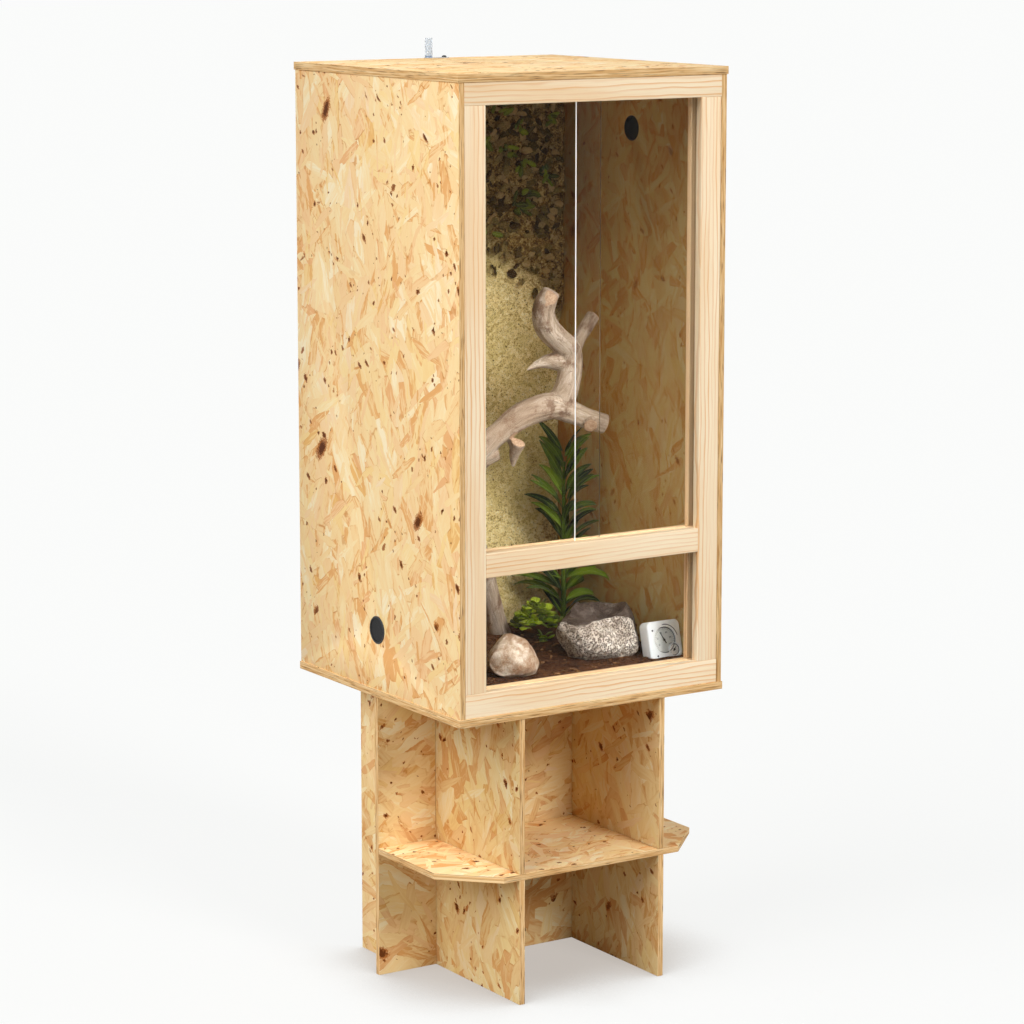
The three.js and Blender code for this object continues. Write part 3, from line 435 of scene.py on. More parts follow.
def walled(piece: Piece, thickness: float) -> None:
    """Gives an open sheet a wall, half of it on each side."""
    wall = piece.modifiers.new("wall", "SOLIDIFY")
    wall.thickness = thickness
    wall.offset = 0.0


def fresh_tree(owner: bpy.types.Material | bpy.types.World) -> "Graph":
    """Graph on the emptied node tree of a material or world."""
    owner.use_nodes = True
    owner.node_tree.nodes.clear()
    return Graph(owner.node_tree)


# ---- node trees


class Graph:
    """Adds nodes to one node tree and links them, so that a pattern reads as a formula."""

    def __init__(self, tree: bpy.types.NodeTree) -> None:
        """Works in the given tree."""
        self.tree = tree

    def node(self, kind: str, feeds: dict[str | int, Feed] | None = None, **settings: object) -> bpy.types.Node:
        """Adds a node.

        Args:
            kind: Type of the node, without its first words.
            feeds: Sockets or values for its inputs.
            **settings: Its properties.

        Returns:
            The node.
        """
        made = self.tree.nodes.new(kind if kind.startswith("NodeGroup") else f"ShaderNode{kind}")
        for name, value in settings.items():
            setattr(made, name, value)
        for key, value in (feeds or {}).items():
            self.feed(made.inputs[key], value)
        return made

    def feed(self, socket: Out, value: Feed) -> None:
        """Links a socket into an input, or sets the input to a plain value."""
        if isinstance(value, Out):
            self.tree.links.new(value, socket)
        else:
            socket.default_value = value

    def math(self, operation: str, a: Feed, b: Feed = 0.0, c: Feed = 0.0, clamp: bool = False) -> Out:
        """Result of a Math node on up to three numbers."""
        return self.node("Math", {0: a, 1: b, 2: c}, operation=operation, use_clamp=clamp).outputs[0]

    def times(self, a: Feed, b: Feed) -> Out:
        """Product of two numbers."""
        return self.math("MULTIPLY", a, b)

    def plus(self, a: Feed, b: Feed) -> Out:
        """Sum of two numbers."""
        return self.math("ADD", a, b)

    def minus(self, a: Feed, b: Feed) -> Out:
        """The first number less the second."""
        return self.math("SUBTRACT", a, b)

    def scaled(self, value: Feed, factor: Feed, offset: Feed) -> Out:
        """A number times a factor, moved by an offset."""
        return self.math("MULTIPLY_ADD", value, factor, offset)

    def mix(self, share: Feed, a: Feed, b: Feed) -> Out:
        """Number between two others by a share."""
        return self.node("Mix", {0: share, 2: a, 3: b}).outputs[0]

    def channels(self, colour: Feed) -> Sequence[Out]:
        """Red, green and blue of a colour."""
        return self.node("SeparateColor", {0: colour}).outputs

    def spun(self, vector: Feed, angle: float) -> Out:
        """The vector turned about Z."""
        return self.node("VectorRotate", {"Vector": vector, "Angle": angle}, rotation_type="Z_AXIS").outputs[0]

    def vector(self, operation: str, a: Feed, b: Feed = (0.0, 0.0, 0.0), scale: Feed = 1.0) -> Out:
        """Vector result of a Vector Math node."""
        return self.node("VectorMath", {0: a, 1: b, 3: scale}, operation=operation).outputs["Vector"]

    def stretch(self, vector: Feed, factors: Triple) -> Out:
        """The vector with each component multiplied by its own factor."""
        return self.vector("MULTIPLY", vector, factors)

    def parts(self, vector: Feed) -> Sequence[Out]:
        """The three components of a vector."""
        return tuple(self.node("SeparateXYZ", {0: vector}).outputs)

    def joined(self, x: Feed, y: Feed, z: Feed = 0.0) -> Out:
        """A vector of three numbers."""
        return self.node("CombineXYZ", {0: x, 1: y, 2: z}).outputs[0]

    def noise(self, vector: Feed, scale: Feed, detail: float = 2.0, rough: float = 0.5) -> Out:
        """Noise from 0 to 1 at a place, with so many swells a metre."""
        feeds = {"Vector": vector, "Scale": scale, "Detail": detail, "Roughness": rough}
        return self.node("TexNoise", feeds).outputs["Fac"]

    def streaks(self, vector: Feed, swells: Triple, detail: float = 2.0, rough: float = 0.5) -> Out:
        """Noise from 0 to 1 with its own number of swells a metre along each axis."""
        return self.noise(self.stretch(vector, swells), 1.0, detail, rough)

    def drift(self, vector: Feed, scale: float, reach: float, detail: float = 1.0) -> Out:
        """The place moved by a noise of its own, up to about half of reach each way."""
        feeds = {"Vector": vector, "Scale": scale, "Detail": detail}
        colour = self.node("TexNoise", feeds).outputs["Color"]
        centred = self.vector("SUBTRACT", colour, (0.5, 0.5, 0.5))
        return self.vector("ADD", vector, self.vector("SCALE", centred, scale=reach))

    def cells(
        self, vector: Feed, scale: Feed = 1.0, feature: str = "F1", flat: bool = False, metric: str = "EUCLIDEAN"
    ) -> bpy.types.NodeOutputs:
        """Outputs of a Voronoi node: cells round random points, so many a metre."""
        return self.node(
            "TexVoronoi", {"Vector": vector, "Scale": scale}, feature=feature, distance=metric,
            voronoi_dimensions="2D" if flat else "3D").outputs

    def between(self, value: Feed, low: Feed, high: Feed) -> Out:
        """Share from 0 to 1 of a value between two others, eased at both ends."""
        feeds = {"Value": value, "From Min": low, "From Max": high}
        return self.node("MapRange", feeds, interpolation_type="SMOOTHSTEP").outputs["Result"]

    def lerp(self, value: Feed, low: Feed, high: Feed) -> Out:
        """A share from 0 to 1 spread between two numbers."""
        return self.node("MapRange", {"Value": value, "To Min": low, "To Max": high}).outputs["Result"]

    def blend(self, share: Feed, a: Feed, b: Feed, how: str = "MIX") -> Out:
        """Colour a changed towards b by a share."""
        feeds = {0: share, 6: a, 7: b}
        return self.node("Mix", feeds, data_type="RGBA", blend_type=how).outputs[2]

    def stain(self, base: Feed, mask: Feed, strength: float, shade: Triple) -> Out:
        """The base colour stained with a display colour where the mask is high."""
        return self.blend(self.times(mask, strength), base, display(*shade))

    def ramp(self, value: Feed, stops: Sequence[tuple[float, Triple]]) -> Out:
        """Colour read off a ramp of display colours with straight steps between its stops."""
        made = self.node("ValToRGB", {0: value})
        elements = made.color_ramp.elements
        while len(elements) < len(stops):
            elements.new(0.5)
        for element, (place, shade) in zip(elements, stops, strict=True):
            element.position = place
            element.color = display(*shade)
        return made.outputs["Color"]

    def place(self) -> Out:
        """Object coordinates, in metres of the row frame."""
        return self.node("TexCoord").outputs["Object"]

    def facing(self) -> Out:
        """Normal of the surface in the object's own frame."""
        return self.node("TexCoord").outputs["Normal"]

    def stored(self, name: str, what: str = "Fac") -> Out:
        """An attribute kept at the mesh's points."""
        return self.node("Attribute", attribute_name=name).outputs[what]

    def use(self, group: str, feeds: dict[str, Feed]) -> bpy.types.NodeOutputs:
        """Outputs of a node group placed with its own values."""
        return self.node("Group", feeds, node_tree=bpy.data.node_groups[group]).outputs


class Effect(Graph):
    """Shader node group that several finishes share."""

    def __init__(self, name: str, takes: dict[str, float | None]) -> None:
        """Starts the group.

        Args:
            name: Name of the group.
            takes: First value of each input; an input without one is a vector.
        """
        super().__init__(bpy.data.node_groups.new(name, "ShaderNodeTree"))
        for key, value in takes.items():
            kind = "NodeSocketVector" if value is None else "NodeSocketFloat"
            made = self.tree.interface.new_socket(key, in_out="INPUT", socket_type=kind)
            if value is not None:
                made.default_value = value
        self.given = self.node("NodeGroupInput").outputs

    def give(self, **results: Out) -> None:
        """Closes the group with a number for each named output."""
        for key in results:
            self.tree.interface.new_socket(key, in_out="OUTPUT", socket_type="NodeSocketFloat")
        self.node("NodeGroupOutput", dict(results))


# Layers of a strand board from the bottom up: angle, width and length of the flakes, the share that they cover, and
# how much darker they are.
STRAND_LAYERS = (
    (0.08, 0.036, 0.105, 1.0, 0.0),
    (-0.52, 0.028, 0.090, 0.45, 0.0),
    (0.44, 0.024, 0.085, 0.45, 0.0),
    (-0.17, 0.019, 0.095, 0.42, 0.0),
    (1.15, 0.017, 0.058, 0.12, 0.04),
    (0.20, 0.015, 0.070, 0.30, 0.0),
    (-0.80, 0.012, 0.052, 0.12, 0.04),
    (-0.30, 0.0065, 0.060, 0.09, 0.14),
    (0.50, 0.0055, 0.048, 0.09, 0.14),
    (0.05, 0.0040, 0.036, 0.08, 0.32),
)
# Bark specks: angle, cells a metre along, across and through, share, smallest and largest reach.
FLECKS = (
    (0.35, (8.0, 19.0, 1.0), 0.12, 0.06, 0.19),
    (-0.40, (18.0, 44.0, 1.0), 0.16, 0.06, 0.22),
    (0.10, (34.0, 74.0, 1.0), 0.10, 0.06, 0.24),
    (-0.15, (60.0, 110.0, 1.0), 0.06, 0.05, 0.20),
)


def strand_flakes() -> None:
    """Face of a strand board: layers of straight-edged cells, each turned its own way, lie over each other.

    Position holds metres along the grain, across it and into the board. Tone is the top flake's own number with
    its fibres, Hue its share of pink, Seam the broken shadow lines round flakes, Fleck the dark bits of bark and
    Char their black cores, Height the lie of the flakes.
    """
    g = Effect("strand_flakes", {"Position": None, "Seed": 0.0})
    seed = g.given["Seed"]
    moved = g.vector("ADD", g.given["Position"], g.joined(seed, seed, 0.0))
    moved = g.drift(g.drift(moved, 5.0, 0.045), 75.0, 0.0035, 2.0)
    tone, hue, edge_shadow, own = 0.5, 0.0, 0.0, moved
    for k, (angle, width, length, share, sink) in enumerate(STRAND_LAYERS):
        lie = g.vector("ADD", g.spun(moved, -angle), (3.7 * k, 1.9 * k, 0.0))
        size = g.stretch(lie, (1 / length, 1 / width, 1.0))
        cell = g.cells(size, flat=True, metric="CHEBYCHEV")
        red, green, blue = g.channels(cell["Color"])
        shown = g.math("LESS_THAN", green, share)
        rim = g.between(cell["Distance"], 0.25, 0.60)
        level = g.minus(g.scaled(rim, -0.10, red), sink)
        cover = g.times(shown, 1.0 if width > 0.01 else 0.6)
        tone = g.mix(cover, tone, level)
        hue = g.mix(shown, hue, blue)
        if width > 0.01:
            second = g.cells(size, feature="F2", flat=True, metric="CHEBYCHEV")
            gap = g.minus(second["Distance"], cell["Distance"])
            # Painted shade: broken dark lines along the flakes' edges, where one flake would shade the one under it.
            line = g.times(g.between(gap, 0.09, 0.0), g.between(red, 0.85, 0.30))
            edge_shadow = g.mix(shown, edge_shadow, line)
        shifted = g.vector("ADD", lie, g.vector("SCALE", cell["Color"], scale=0.4))
        own = g.node("Mix", {0: shown, 4: own, 5: shifted}, data_type="VECTOR").outputs[1]
    fibre = g.streaks(own, (26.0, 330.0, 1.0), 3.0, 0.65)
    streak = g.streaks(own, (11.0, 110.0, 1.0), 2.0)
    cloud = g.noise(moved, 6.0, 3.0)
    grain = g.plus(g.scaled(fibre, 1.1, -0.55), g.scaled(streak, 0.6, -0.30))
    told = g.plus(tone, g.plus(grain, g.scaled(cloud, 0.5, -0.25)))
    broken = g.between(g.noise(moved, 55.0, 2.0), 0.48, 0.62)
    ragged = g.drift(moved, 210.0, 0.005, 3.0)
    torn = g.scaled(g.noise(moved, 420.0, 3.0, 0.7), 1.6, -0.8)
    crowd = g.scaled(g.between(g.noise(moved, 13.0, 2.0), 0.44, 0.62), 2.1, 0.20)
    fleck, char = 0.0, 0.0
    for turned, stretch, share, low, high in FLECKS:
        place = g.spun(ragged, turned)
        spot = g.cells(g.stretch(place, stretch), flat=True)
        one, two, _ = g.channels(spot["Color"])
        reach = g.times(g.lerp(g.times(one, one), low, high), g.math("LESS_THAN", two, g.times(crowd, share)))
        near = g.plus(g.math("DIVIDE", spot["Distance"], g.math("MAXIMUM", reach, 0.0001)), torn)
        fleck = g.math("MAXIMUM", fleck, g.between(near, 1.12, 0.92))
        char = g.math("MAXIMUM", char, g.times(g.between(near, 0.80, 0.50), g.math("POWER", one, 0.6)))
    g.give(
        Tone=told, Hue=hue, Seam=g.times(edge_shadow, broken), Fleck=fleck, Char=char, Height=g.scaled(tone, 0.6, fibre))


def sawn_layers() -> None:
    """Sawn edge of a board: thin wavering strips one over another through its thickness.

    Position holds metres along the edge, through the board and across it; Tone is each strip's own number.
    """
    g = Effect("sawn_layers", {"Position": None})
    bent = g.drift(g.given["Position"], 12.0, 0.0020, 2.0)
    strips = g.streaks(bent, (9.0, 420.0, 9.0), 2.0, 0.6)
    fine = g.streaks(bent, (40.0, 1300.0, 40.0), 1.0)
    gap = g.between(g.streaks(bent, (22.0, 560.0, 22.0), 1.0), 0.60, 0.68)
    g.give(Tone=g.plus(g.times(strips, 0.75), g.times(fine, 0.25)), Gap=gap)


def pine_grain() -> None:
    """Planed pine: yearly growth lines as a saw tooth across the board, drawn out and bent along it.

    Position holds metres along the grain, across it and into the board. Pitch is the distance between lines, Wave how
    far they wander. Late marks the narrow dark side of each line, Fibre the fine streaks.
    """
    g = Effect("pine_grain", {"Position": None, "Pitch": 0.008, "Wave": 1.5, "Seed": 0.0})
    given = g.given
    along, across, deep = g.parts(g.vector("ADD", given["Position"], g.joined(given["Seed"], given["Seed"], 0.0)))
    spread = g.scaled(deep, 0.35, across)
    slow = g.noise(g.joined(g.times(along, 2.6), g.times(spread, 24.0)), 1.0, 2.0)
    ripple = g.noise(g.joined(g.times(along, 14.0), g.times(spread, 60.0)), 1.0, 1.0)
    bend = g.plus(g.times(slow, given["Wave"]), g.times(ripple, 0.6))
    ring = g.math("FRACT", g.plus(g.math("DIVIDE", spread, given["Pitch"]), bend))
    rise = g.between(ring, 0.55, 0.92)
    fall = g.between(ring, 0.94, 0.995)
    fibre = g.noise(g.joined(g.times(along, 18.0), g.times(spread, 900.0), deep), 1.0, 2.0)
    strength = g.lerp(g.noise(g.joined(g.times(along, 2.2), g.times(spread, 48.0)), 1.0, 1.0), -0.9, 2.3)
    late = g.math("MULTIPLY", g.minus(rise, fall), strength, clamp=True)
    g.give(Late=late, Fibre=fibre, Glow=slow)


def grit() -> None:
    """Pressed or crumbly matter: grains of two sizes with dark gaps between them, and scattered pits.

    Coarse and Fine are grains a metre. Tone is each grain's own number, Pit marks the holes, Height the lie of
    the grains.
    """
    g = Effect("grit", {"Position": None, "Coarse": 120.0, "Fine": 420.0})
    bent = g.drift(g.given["Position"], 60.0, 0.004, 2.0)
    coarse = g.cells(bent, g.given["Coarse"])
    fine = g.cells(bent, g.given["Fine"])
    one = g.channels(coarse["Color"])[0]
    two, three, _ = g.channels(fine["Color"])
    pit = g.times(g.math("GREATER_THAN", three, 0.86), g.between(fine["Distance"], 0.62, 0.40))
    dome = g.plus(g.times(coarse["Distance"], -0.6), g.times(fine["Distance"], -0.4))
    g.give(Tone=g.plus(g.times(one, 0.45), g.times(two, 0.55)), Pit=pit, Height=g.minus(dome, pit))


def leaf_veins() -> None:
    """Leaf read off its UV map: a midrib down the middle and veins that leave it aslant, an edge that fades.

    UV runs 0 to 1 across and along the blade. Slant is how steeply the veins climb, Count how many a blade has.
    """
    g = Effect("leaf_veins", {"UV": None, "Slant": 1.2, "Count": 16.0})
    given = g.given
    across, along, _ = g.parts(given["UV"])
    off = g.math("ABSOLUTE", g.minus(across, 0.5))
    midrib = g.between(off, 0.075, 0.015)
    climb = g.minus(along, g.times(off, given["Slant"]))
    wave = g.math("FRACT", g.times(climb, given["Count"]))
    vein = g.between(g.math("ABSOLUTE", g.minus(wave, 0.5)), 0.16, 0.0)
    g.give(Midrib=midrib, Vein=vein, Edge=g.between(off, 0.34, 0.5))


# ---- finishes


class Axis(Enum):
    """Axis of the row frame that a board's grain or thickness follows."""

    X = 0
    Y = 1
    Z = 2


def board_place(g: Graph, grain: Axis, thickness: Axis) -> Out:
    """Object coordinates turned to a board's own: along its grain, across it and into its thickness."""
    across = next(axis for axis in Axis if axis not in (grain, thickness))
    x_y_z = g.parts(g.place())
    return g.joined(x_y_z[grain.value], x_y_z[across.value], x_y_z[thickness.value])


def principled(
    g: Graph, colour: Feed, roughness: Feed, height: Feed | None = None, relief: float = 0.0,
    shine: float = 0.5, **plain: Feed,
) -> Out:
    """Surface shader with an optional bump.

    Args:
        g: Graph of the material.
        colour: Base colour.
        roughness: Roughness.
        height: Pattern of the bump.
        relief: Its depth in metres.
        shine: Specular level.
        **plain: Plain values of other sockets, with underscores for blanks.

    Returns:
        The shader.
    """
    feeds = {name.replace("_", " "): value for name, value in plain.items()}
    feeds |= {"Base Color": colour, "Roughness": roughness, "Specular IOR Level": shine}
    if height is not None:
        bump = g.node("Bump", {"Height": height, "Distance": relief, "Strength": 1.0})
        feeds["Normal"] = bump.outputs[0]
    return g.node("BsdfPrincipled", feeds).outputs[0]


@dataclass(frozen=True)
class Finish:
    """A finish that makes its own material."""

    name: str

    def material(self) -> bpy.types.Material:
        """Builds the material."""
        made = bpy.data.materials.new(self.name)
        graph = fresh_tree(made)
        graph.node("OutputMaterial", {"Surface": self.shader(graph)})
        return made

    def shader(self, g: Graph) -> Out:
        """Shader of the finish; each kind has its own."""
        raise NotImplementedError


BOARD_TONES = (
    (0.00, (234, 176, 112)),
    (0.06, (243, 198, 140)),
    (0.16, (249, 213, 156)),
    (0.52, (251, 220, 164)),
    (0.82, (253, 227, 176)),
    (1.00, (255, 238, 200)),
)
EDGE_TONES = (
    (0.20, (124, 82, 42)),
    (0.42, (204, 156, 98)),
    (0.60, (234, 202, 152)),
    (0.85, (248, 228, 188)),
)


@dataclass(frozen=True)
class StrandBoard(Finish):
    """Pressed strand board: flakes on its faces, sawn layers on its edges."""

    grain: Axis
    thickness: Axis
    seed: float
    broad: float = 1.0
    # Share of painted shade: the face blended towards a browner, darker copy of itself.
    painted_shade: float = 0.0
    worn: float = 0.0
    flecked: float = 1.0

    def shader(self, g: Graph) -> Out:
        """Mixes the face and edge patterns by the way the surface faces."""
        place = board_place(g, self.grain, self.thickness)
        spread = g.stretch(place, (1.0, 1 / self.broad, 1.0))
        flakes = g.use("strand_flakes", {"Position": spread, "Seed": self.seed})
        face = g.ramp(flakes["Tone"], BOARD_TONES)
        face = g.stain(face, g.between(flakes["Hue"], 0.55, 1.0), 0.40, (246, 196, 150))
        face = g.stain(face, g.between(flakes["Hue"], 0.22, 0.0), 0.30, (250, 214, 128))
        # Painted shade: the broken dark lines round the flakes.
        face = g.stain(face, flakes["Seam"], 0.85, (206, 136, 68))
        # Painted shade: a browner, darker copy of the face, blended in by the share of painted shade.
        painted_shade_colour = g.blend(0.36, g.blend(1.0, face, display(176, 172, 143), "MULTIPLY"), display(171, 143, 85))
        face = g.blend(self.painted_shade, face, painted_shade_colour)
        # Darkens the low flakes: a little wear, and painted shade on the shaded faces and plates.
        face = g.stain(face, g.between(flakes["Tone"], 0.60, 0.0), self.worn, (184, 126, 66))
        face = g.stain(face, flakes["Fleck"], 0.85 * self.flecked, (168, 96, 40))
        face = g.stain(face, flakes["Char"], 0.95 * self.flecked, (80, 34, 4))
        along, across, deep = g.parts(place)
        run = g.plus(along, across)
        layers = g.use("sawn_layers", {"Position": g.joined(run, deep, 0.0)})
        edge = g.ramp(layers["Tone"], EDGE_TONES)
        edge = g.stain(edge, layers["Gap"], 0.75, (112, 76, 42))
        normal = g.parts(g.facing())[self.thickness.value]
        flat = g.between(g.math("ABSOLUTE", normal), 0.62, 0.86)
        colour = g.blend(flat, edge, face)
        height = g.plus(g.times(flakes["Height"], flat), g.times(layers["Gap"], -0.8))
        rough = g.lerp(flakes["Tone"], 0.62, 0.50)
        return principled(g, colour, rough, height, 0.20 * MM, shine=0.05)


@dataclass(frozen=True)
class PlanedPine(Finish):
    """Planed pine strip."""

    grain: Axis
    thickness: Axis
    seed: float
    pitch: float = 8.5 * MM
    wave: float = 1.6
    shade: Triple = (249, 230, 198)
    line: Triple = (232, 182, 128)

    def shader(self, g: Graph) -> Out:
        """Growth lines and fibres over a pale base, a little warmer where the grain swells."""
        place = board_place(g, self.grain, self.thickness)
        feeds = {"Position": place, "Pitch": self.pitch, "Wave": self.wave, "Seed": self.seed}
        grain = g.use("pine_grain", feeds)
        base = g.blend(g.between(grain["Glow"], 0.35, 0.75), display(*self.shade), display(243, 213, 172))
        streaked = g.stain(base, g.between(grain["Fibre"], 0.45, 0.75), 0.16, (205, 160, 112))
        lined = g.stain(streaked, grain["Late"], 0.95, self.line)
        pores = g.cells(g.stretch(place, (60.0, 700.0, 700.0)))
        dot = g.between(pores["Distance"], 0.10, 0.04)
        colour = g.stain(lined, dot, 0.25, (168, 118, 72))
        height = g.plus(g.times(grain["Late"], 0.6), g.times(grain["Fibre"], 0.4))
        return principled(g, colour, g.lerp(grain["Fibre"], 0.42, 0.56), height, 0.08 * MM, shine=0.4)


@dataclass(frozen=True)
class PaneGlass(Finish):
    """Clear float glass that lets the lamps' light straight through."""

    tint: Triple = (253, 251, 247)
    mirrored: Colour = (0.05, 0.05, 0.05, 1.0)

    def shader(self, g: Graph) -> Out:
        """Glass to the eye, clear to the rays that look for a lamp."""
        glass = principled(
            g, display(*self.tint), 0.0, Transmission_Weight=1.0, IOR=1.45,
            Specular_Tint=self.mirrored)
        clear = g.node("BsdfTransparent", {0: display(252, 252, 250)}).outputs[0]
        shadow = g.node("LightPath").outputs["Is Shadow Ray"]
        return g.node("MixShader", {0: shadow, 1: glass, 2: clear}).outputs[0]


@dataclass(frozen=True)
class GroundEdgeWithPaintedGlow(Finish):
    """Ground edge of a pane: frosted, with a painted glow, an emission that stands in for the light the glass carries
    to it.
    """

    def shader(self, g: Graph) -> Out:
        """Fine scratches along a pale body, and a painted glow."""
        scratch = g.streaks(g.place(), (900.0, 900.0, 30.0), 2.0)
        colour = g.blend(scratch, display(238, 243, 240), display(250, 252, 251))
        # Painted glow: emission on the edge stands in for light carried through the glass.
        return principled(
            g, colour, g.lerp(scratch, 0.30, 0.5), IOR=1.5, Emission_Color=display(250, 250,
                244), Emission_Strength=0.5)


@dataclass(frozen=True)
class Moulded(Finish):
    """Plain moulded or coated matter with dust and fine scuffs."""

    shade: Triple
    roughness: float = 0.4
    metallic: float = 0.0
    dust: Triple = (190, 180, 160)
    dustiness: float = 0.08

    def shader(self, g: Graph) -> Out:
        """Colour with faint cloudy dust, and scuffs in the roughness."""
        place = g.place()
        cloud = g.between(g.noise(place, 90.0, 4.0, 0.6), 0.42, 0.72)
        scuff = g.streaks(place, (1400.0, 300.0, 300.0), 2.0)
        colour = g.stain(display(*self.shade), cloud, self.dustiness, self.dust)
        rough = g.plus(g.scaled(scuff, 0.16, self.roughness - 0.08), g.times(cloud, 0.1))
        return principled(g, colour, rough, scuff, 0.01 * MM, Metallic=self.metallic)


@dataclass(frozen=True)
class ClearPlastic(Finish):
    """Clear moulded tube, bluish where its wall is thick near the foot."""

    foot: float = 0.0

    def shader(self, g: Graph) -> Out:
        """Tinted glass-like body whose tint grows towards the foot."""
        height = g.parts(g.place())[2]
        low = g.between(height, self.foot, self.foot - 6 * MM)
        colour = g.blend(low, display(236, 241, 246), display(146, 174, 206))
        return principled(g, colour, 0.08, Transmission_Weight=0.86, IOR=1.46, Specular_Tint=(0.5, 0.5, 0.5, 1.0))


# ---- the boarded box


@dataclass
class Carcass:
    """Boarded box: floor, lid, two sides and a back."""

    ease: float = 0.7 * MM
    broad: float = 1.5
    # Share of painted shade on the faces inside the box.
    painted_inside_shade: float = 0.82
    # Node, grain, thickness, seed, share of painted shade, and which way the face with painted shade inside the box
    # looks along X.
    boards: tuple[tuple[str, Axis, Axis, float, float, float], ...] = (
        ("base_board", Axis.X, Axis.Z, 2.3, 0.0, 0.0),
        ("lid_board", Axis.X, Axis.Z, 5.1, 0.02, 0.0),
        ("left_side_panel", Axis.Z, Axis.X, 0.37, 0.0, 1.0),
        ("right_side_panel", Axis.Z, Axis.X, 7.9, 0.0, -1.0),
        ("back_panel", Axis.Z, Axis.Y, 11.3, 0.0, 0.0),
    )

    def build(self) -> None:
        """Makes an eased copy of each board with its own pattern, and a browner, darker copy of it as painted shade for
        a face inside the box.
        """
        for node, grain, thickness, seed, painted_shade, inward in self.boards:
            board = welded_copy(node)
            finishes = [StrandBoard(f"strand_board_{node}", grain, thickness, seed, self.broad, painted_shade).material()]
            if inward:
                # Painted shade: the face inside the box gets a browner, darker copy of the board, darker low flakes and
                # fewer flecks.
                inner = StrandBoard(
                    f"painted_shade_inside_board_{node}", grain, thickness, seed, self.broad, self.painted_inside_shade, worn=0.34, flecked=0.5)
                finishes.append(inner.material())
            deliver(board, finishes)
            inside = (face_normals(board.data)[:, 0] * inward > 0.9).astype(np.int32)
            board.data.polygons.foreach_set("material_index", inside)
            eased(board, self.ease)


@dataclass
class FrontFrame:
    """Pine frame round the glass, the tracks behind it and the battens at its sides."""

    ease: float = 0.8 * MM
    # Node, grain, seed, pitch of the growth lines in millimetres, and how far they wander.
    strips: tuple[tuple[str, Axis, float, float, float], ...] = (
        ("top_rail", Axis.X, 0.31, 10.5, 1.3),
        ("bottom_rail", Axis.X, 1.93, 9.5, 1.5),
        ("mid_rail", Axis.X, 4.2, 8.0, 2.4),
        ("left_stile", Axis.Z, 2.6, 9.0, 1.2),
        ("right_stile", Axis.Z, 3.4, 8.5, 2.6),
    )
    backs: tuple[tuple[str, Axis, float], ...] = (
        ("upper_guide", Axis.X, 0.7),
        ("middle_guide", Axis.X, 1.1),
        ("sill_guide", Axis.X, 1.7),
        ("upper_left_batten", Axis.Z, 2.1),
        ("upper_right_batten", Axis.Z, 2.9),
        ("lower_left_batten", Axis.Z, 3.7),
        ("lower_right_batten", Axis.Z, 4.9),
    )
    # Painted shade: darker base and line colours for the strips behind the frame.
    shaded: tuple[Triple, Triple] = ((232, 200, 158), (206, 156, 106))

    def build(self) -> None:
        """Makes an eased copy of each strip; those behind the frame get a darker, browner pine with finer lines, as
        painted shade.
        """
        for node, grain, seed, pitch, wave in self.strips:
            finish = PlanedPine(f"pine_{node}", grain, Axis.Y, seed, pitch * MM, wave)
            dressed(node, self.ease, finish.material())
        for node, grain, seed in self.backs:
            finish = PlanedPine(f"pine_{node}", grain, Axis.Y, seed, 5.5 * MM, 1.0, *self.shaded)
            dressed(node, self.ease / 2, finish.material())


@dataclass
class Panes:
    """Two sliding panes and the fixed one below them."""

    ease: float = 0.35 * MM
    bodies: tuple[tuple[str, str], ...] = (
        ("left_pane", "left_pane"), ("right_pane", "right_pane"), ("fixed_pane", STATIC_BODY))

    def build(self) -> None:
        """Makes each pane's faces of glass, its narrow sides of ground edge with a painted glow, and those that face +X
        of a dark brown painted shade.
        """
        glass = PaneGlass("pane_glass").material()
        ground = GroundEdgeWithPaintedGlow("ground_glass_edge_painted_glow").material()
        # Painted shade: a dark brown opaque colour for the narrow sides that face +X, which stand in shade.
        painted_shade_edge = Moulded("ground_edge_painted_shade", (74, 62, 44), 0.35).material()
        for node, body in self.bodies:
            pane = welded_copy(node)
            facing = face_normals(pane.data)
            narrow = np.where(facing[:, 0] > 0.3, 2, (np.abs(facing[:, 1]) < 0.9).astype(np.int32)).astype(np.int32)
            deliver(pane, [glass, ground, painted_shade_edge], body)
            pane.data.polygons.foreach_set("material_index", narrow)
            eased(pane, self.ease, 1)
            pane.data.polygons.foreach_set("use_smooth", np.zeros(len(pane.data.polygons), bool))


@dataclass
class Stand:
    """Slotted stand: a cross plate, two front plates, two rear ones and a shelf."""

    ease: float = 0.5 * MM
    # Node, grain, thickness, seed and its share of painted shade, a browner, darker copy of the board where the cabinet
    # and the shelf shade it.
    plates: tuple[tuple[str, Axis, Axis, float, float], ...] = (
        ("stand_cross_plate", Axis.X, Axis.Y, 1.7, 0.32),
        ("stand_left_plate", Axis.Z, Axis.X, 3.1, 0.54),
        ("stand_right_plate", Axis.Z, Axis.X, 4.3, 0.44),
        ("stand_rear_left_plate", Axis.Z, Axis.X, 6.7, 0.22),
        ("stand_rear_right_plate", Axis.Z, Axis.X, 8.3, 0.22),
        ("stand_shelf", Axis.X, Axis.Z, 9.7, 0.0),
    )

    def build(self) -> None:
        """Makes an eased copy of each plate with its own pattern."""
        for node, grain, thickness, seed, painted_shade in self.plates:
            # Painted shade: the plate's share darkens it, and its low flakes more, over a little wear.
            finish = StrandBoard(f"strand_board_{node}", grain, thickness, seed, 1.6, painted_shade, 0.08 + 0.35 * painted_shade)
            dressed(node, self.ease, finish.material())


# ---- finishes of the dressing


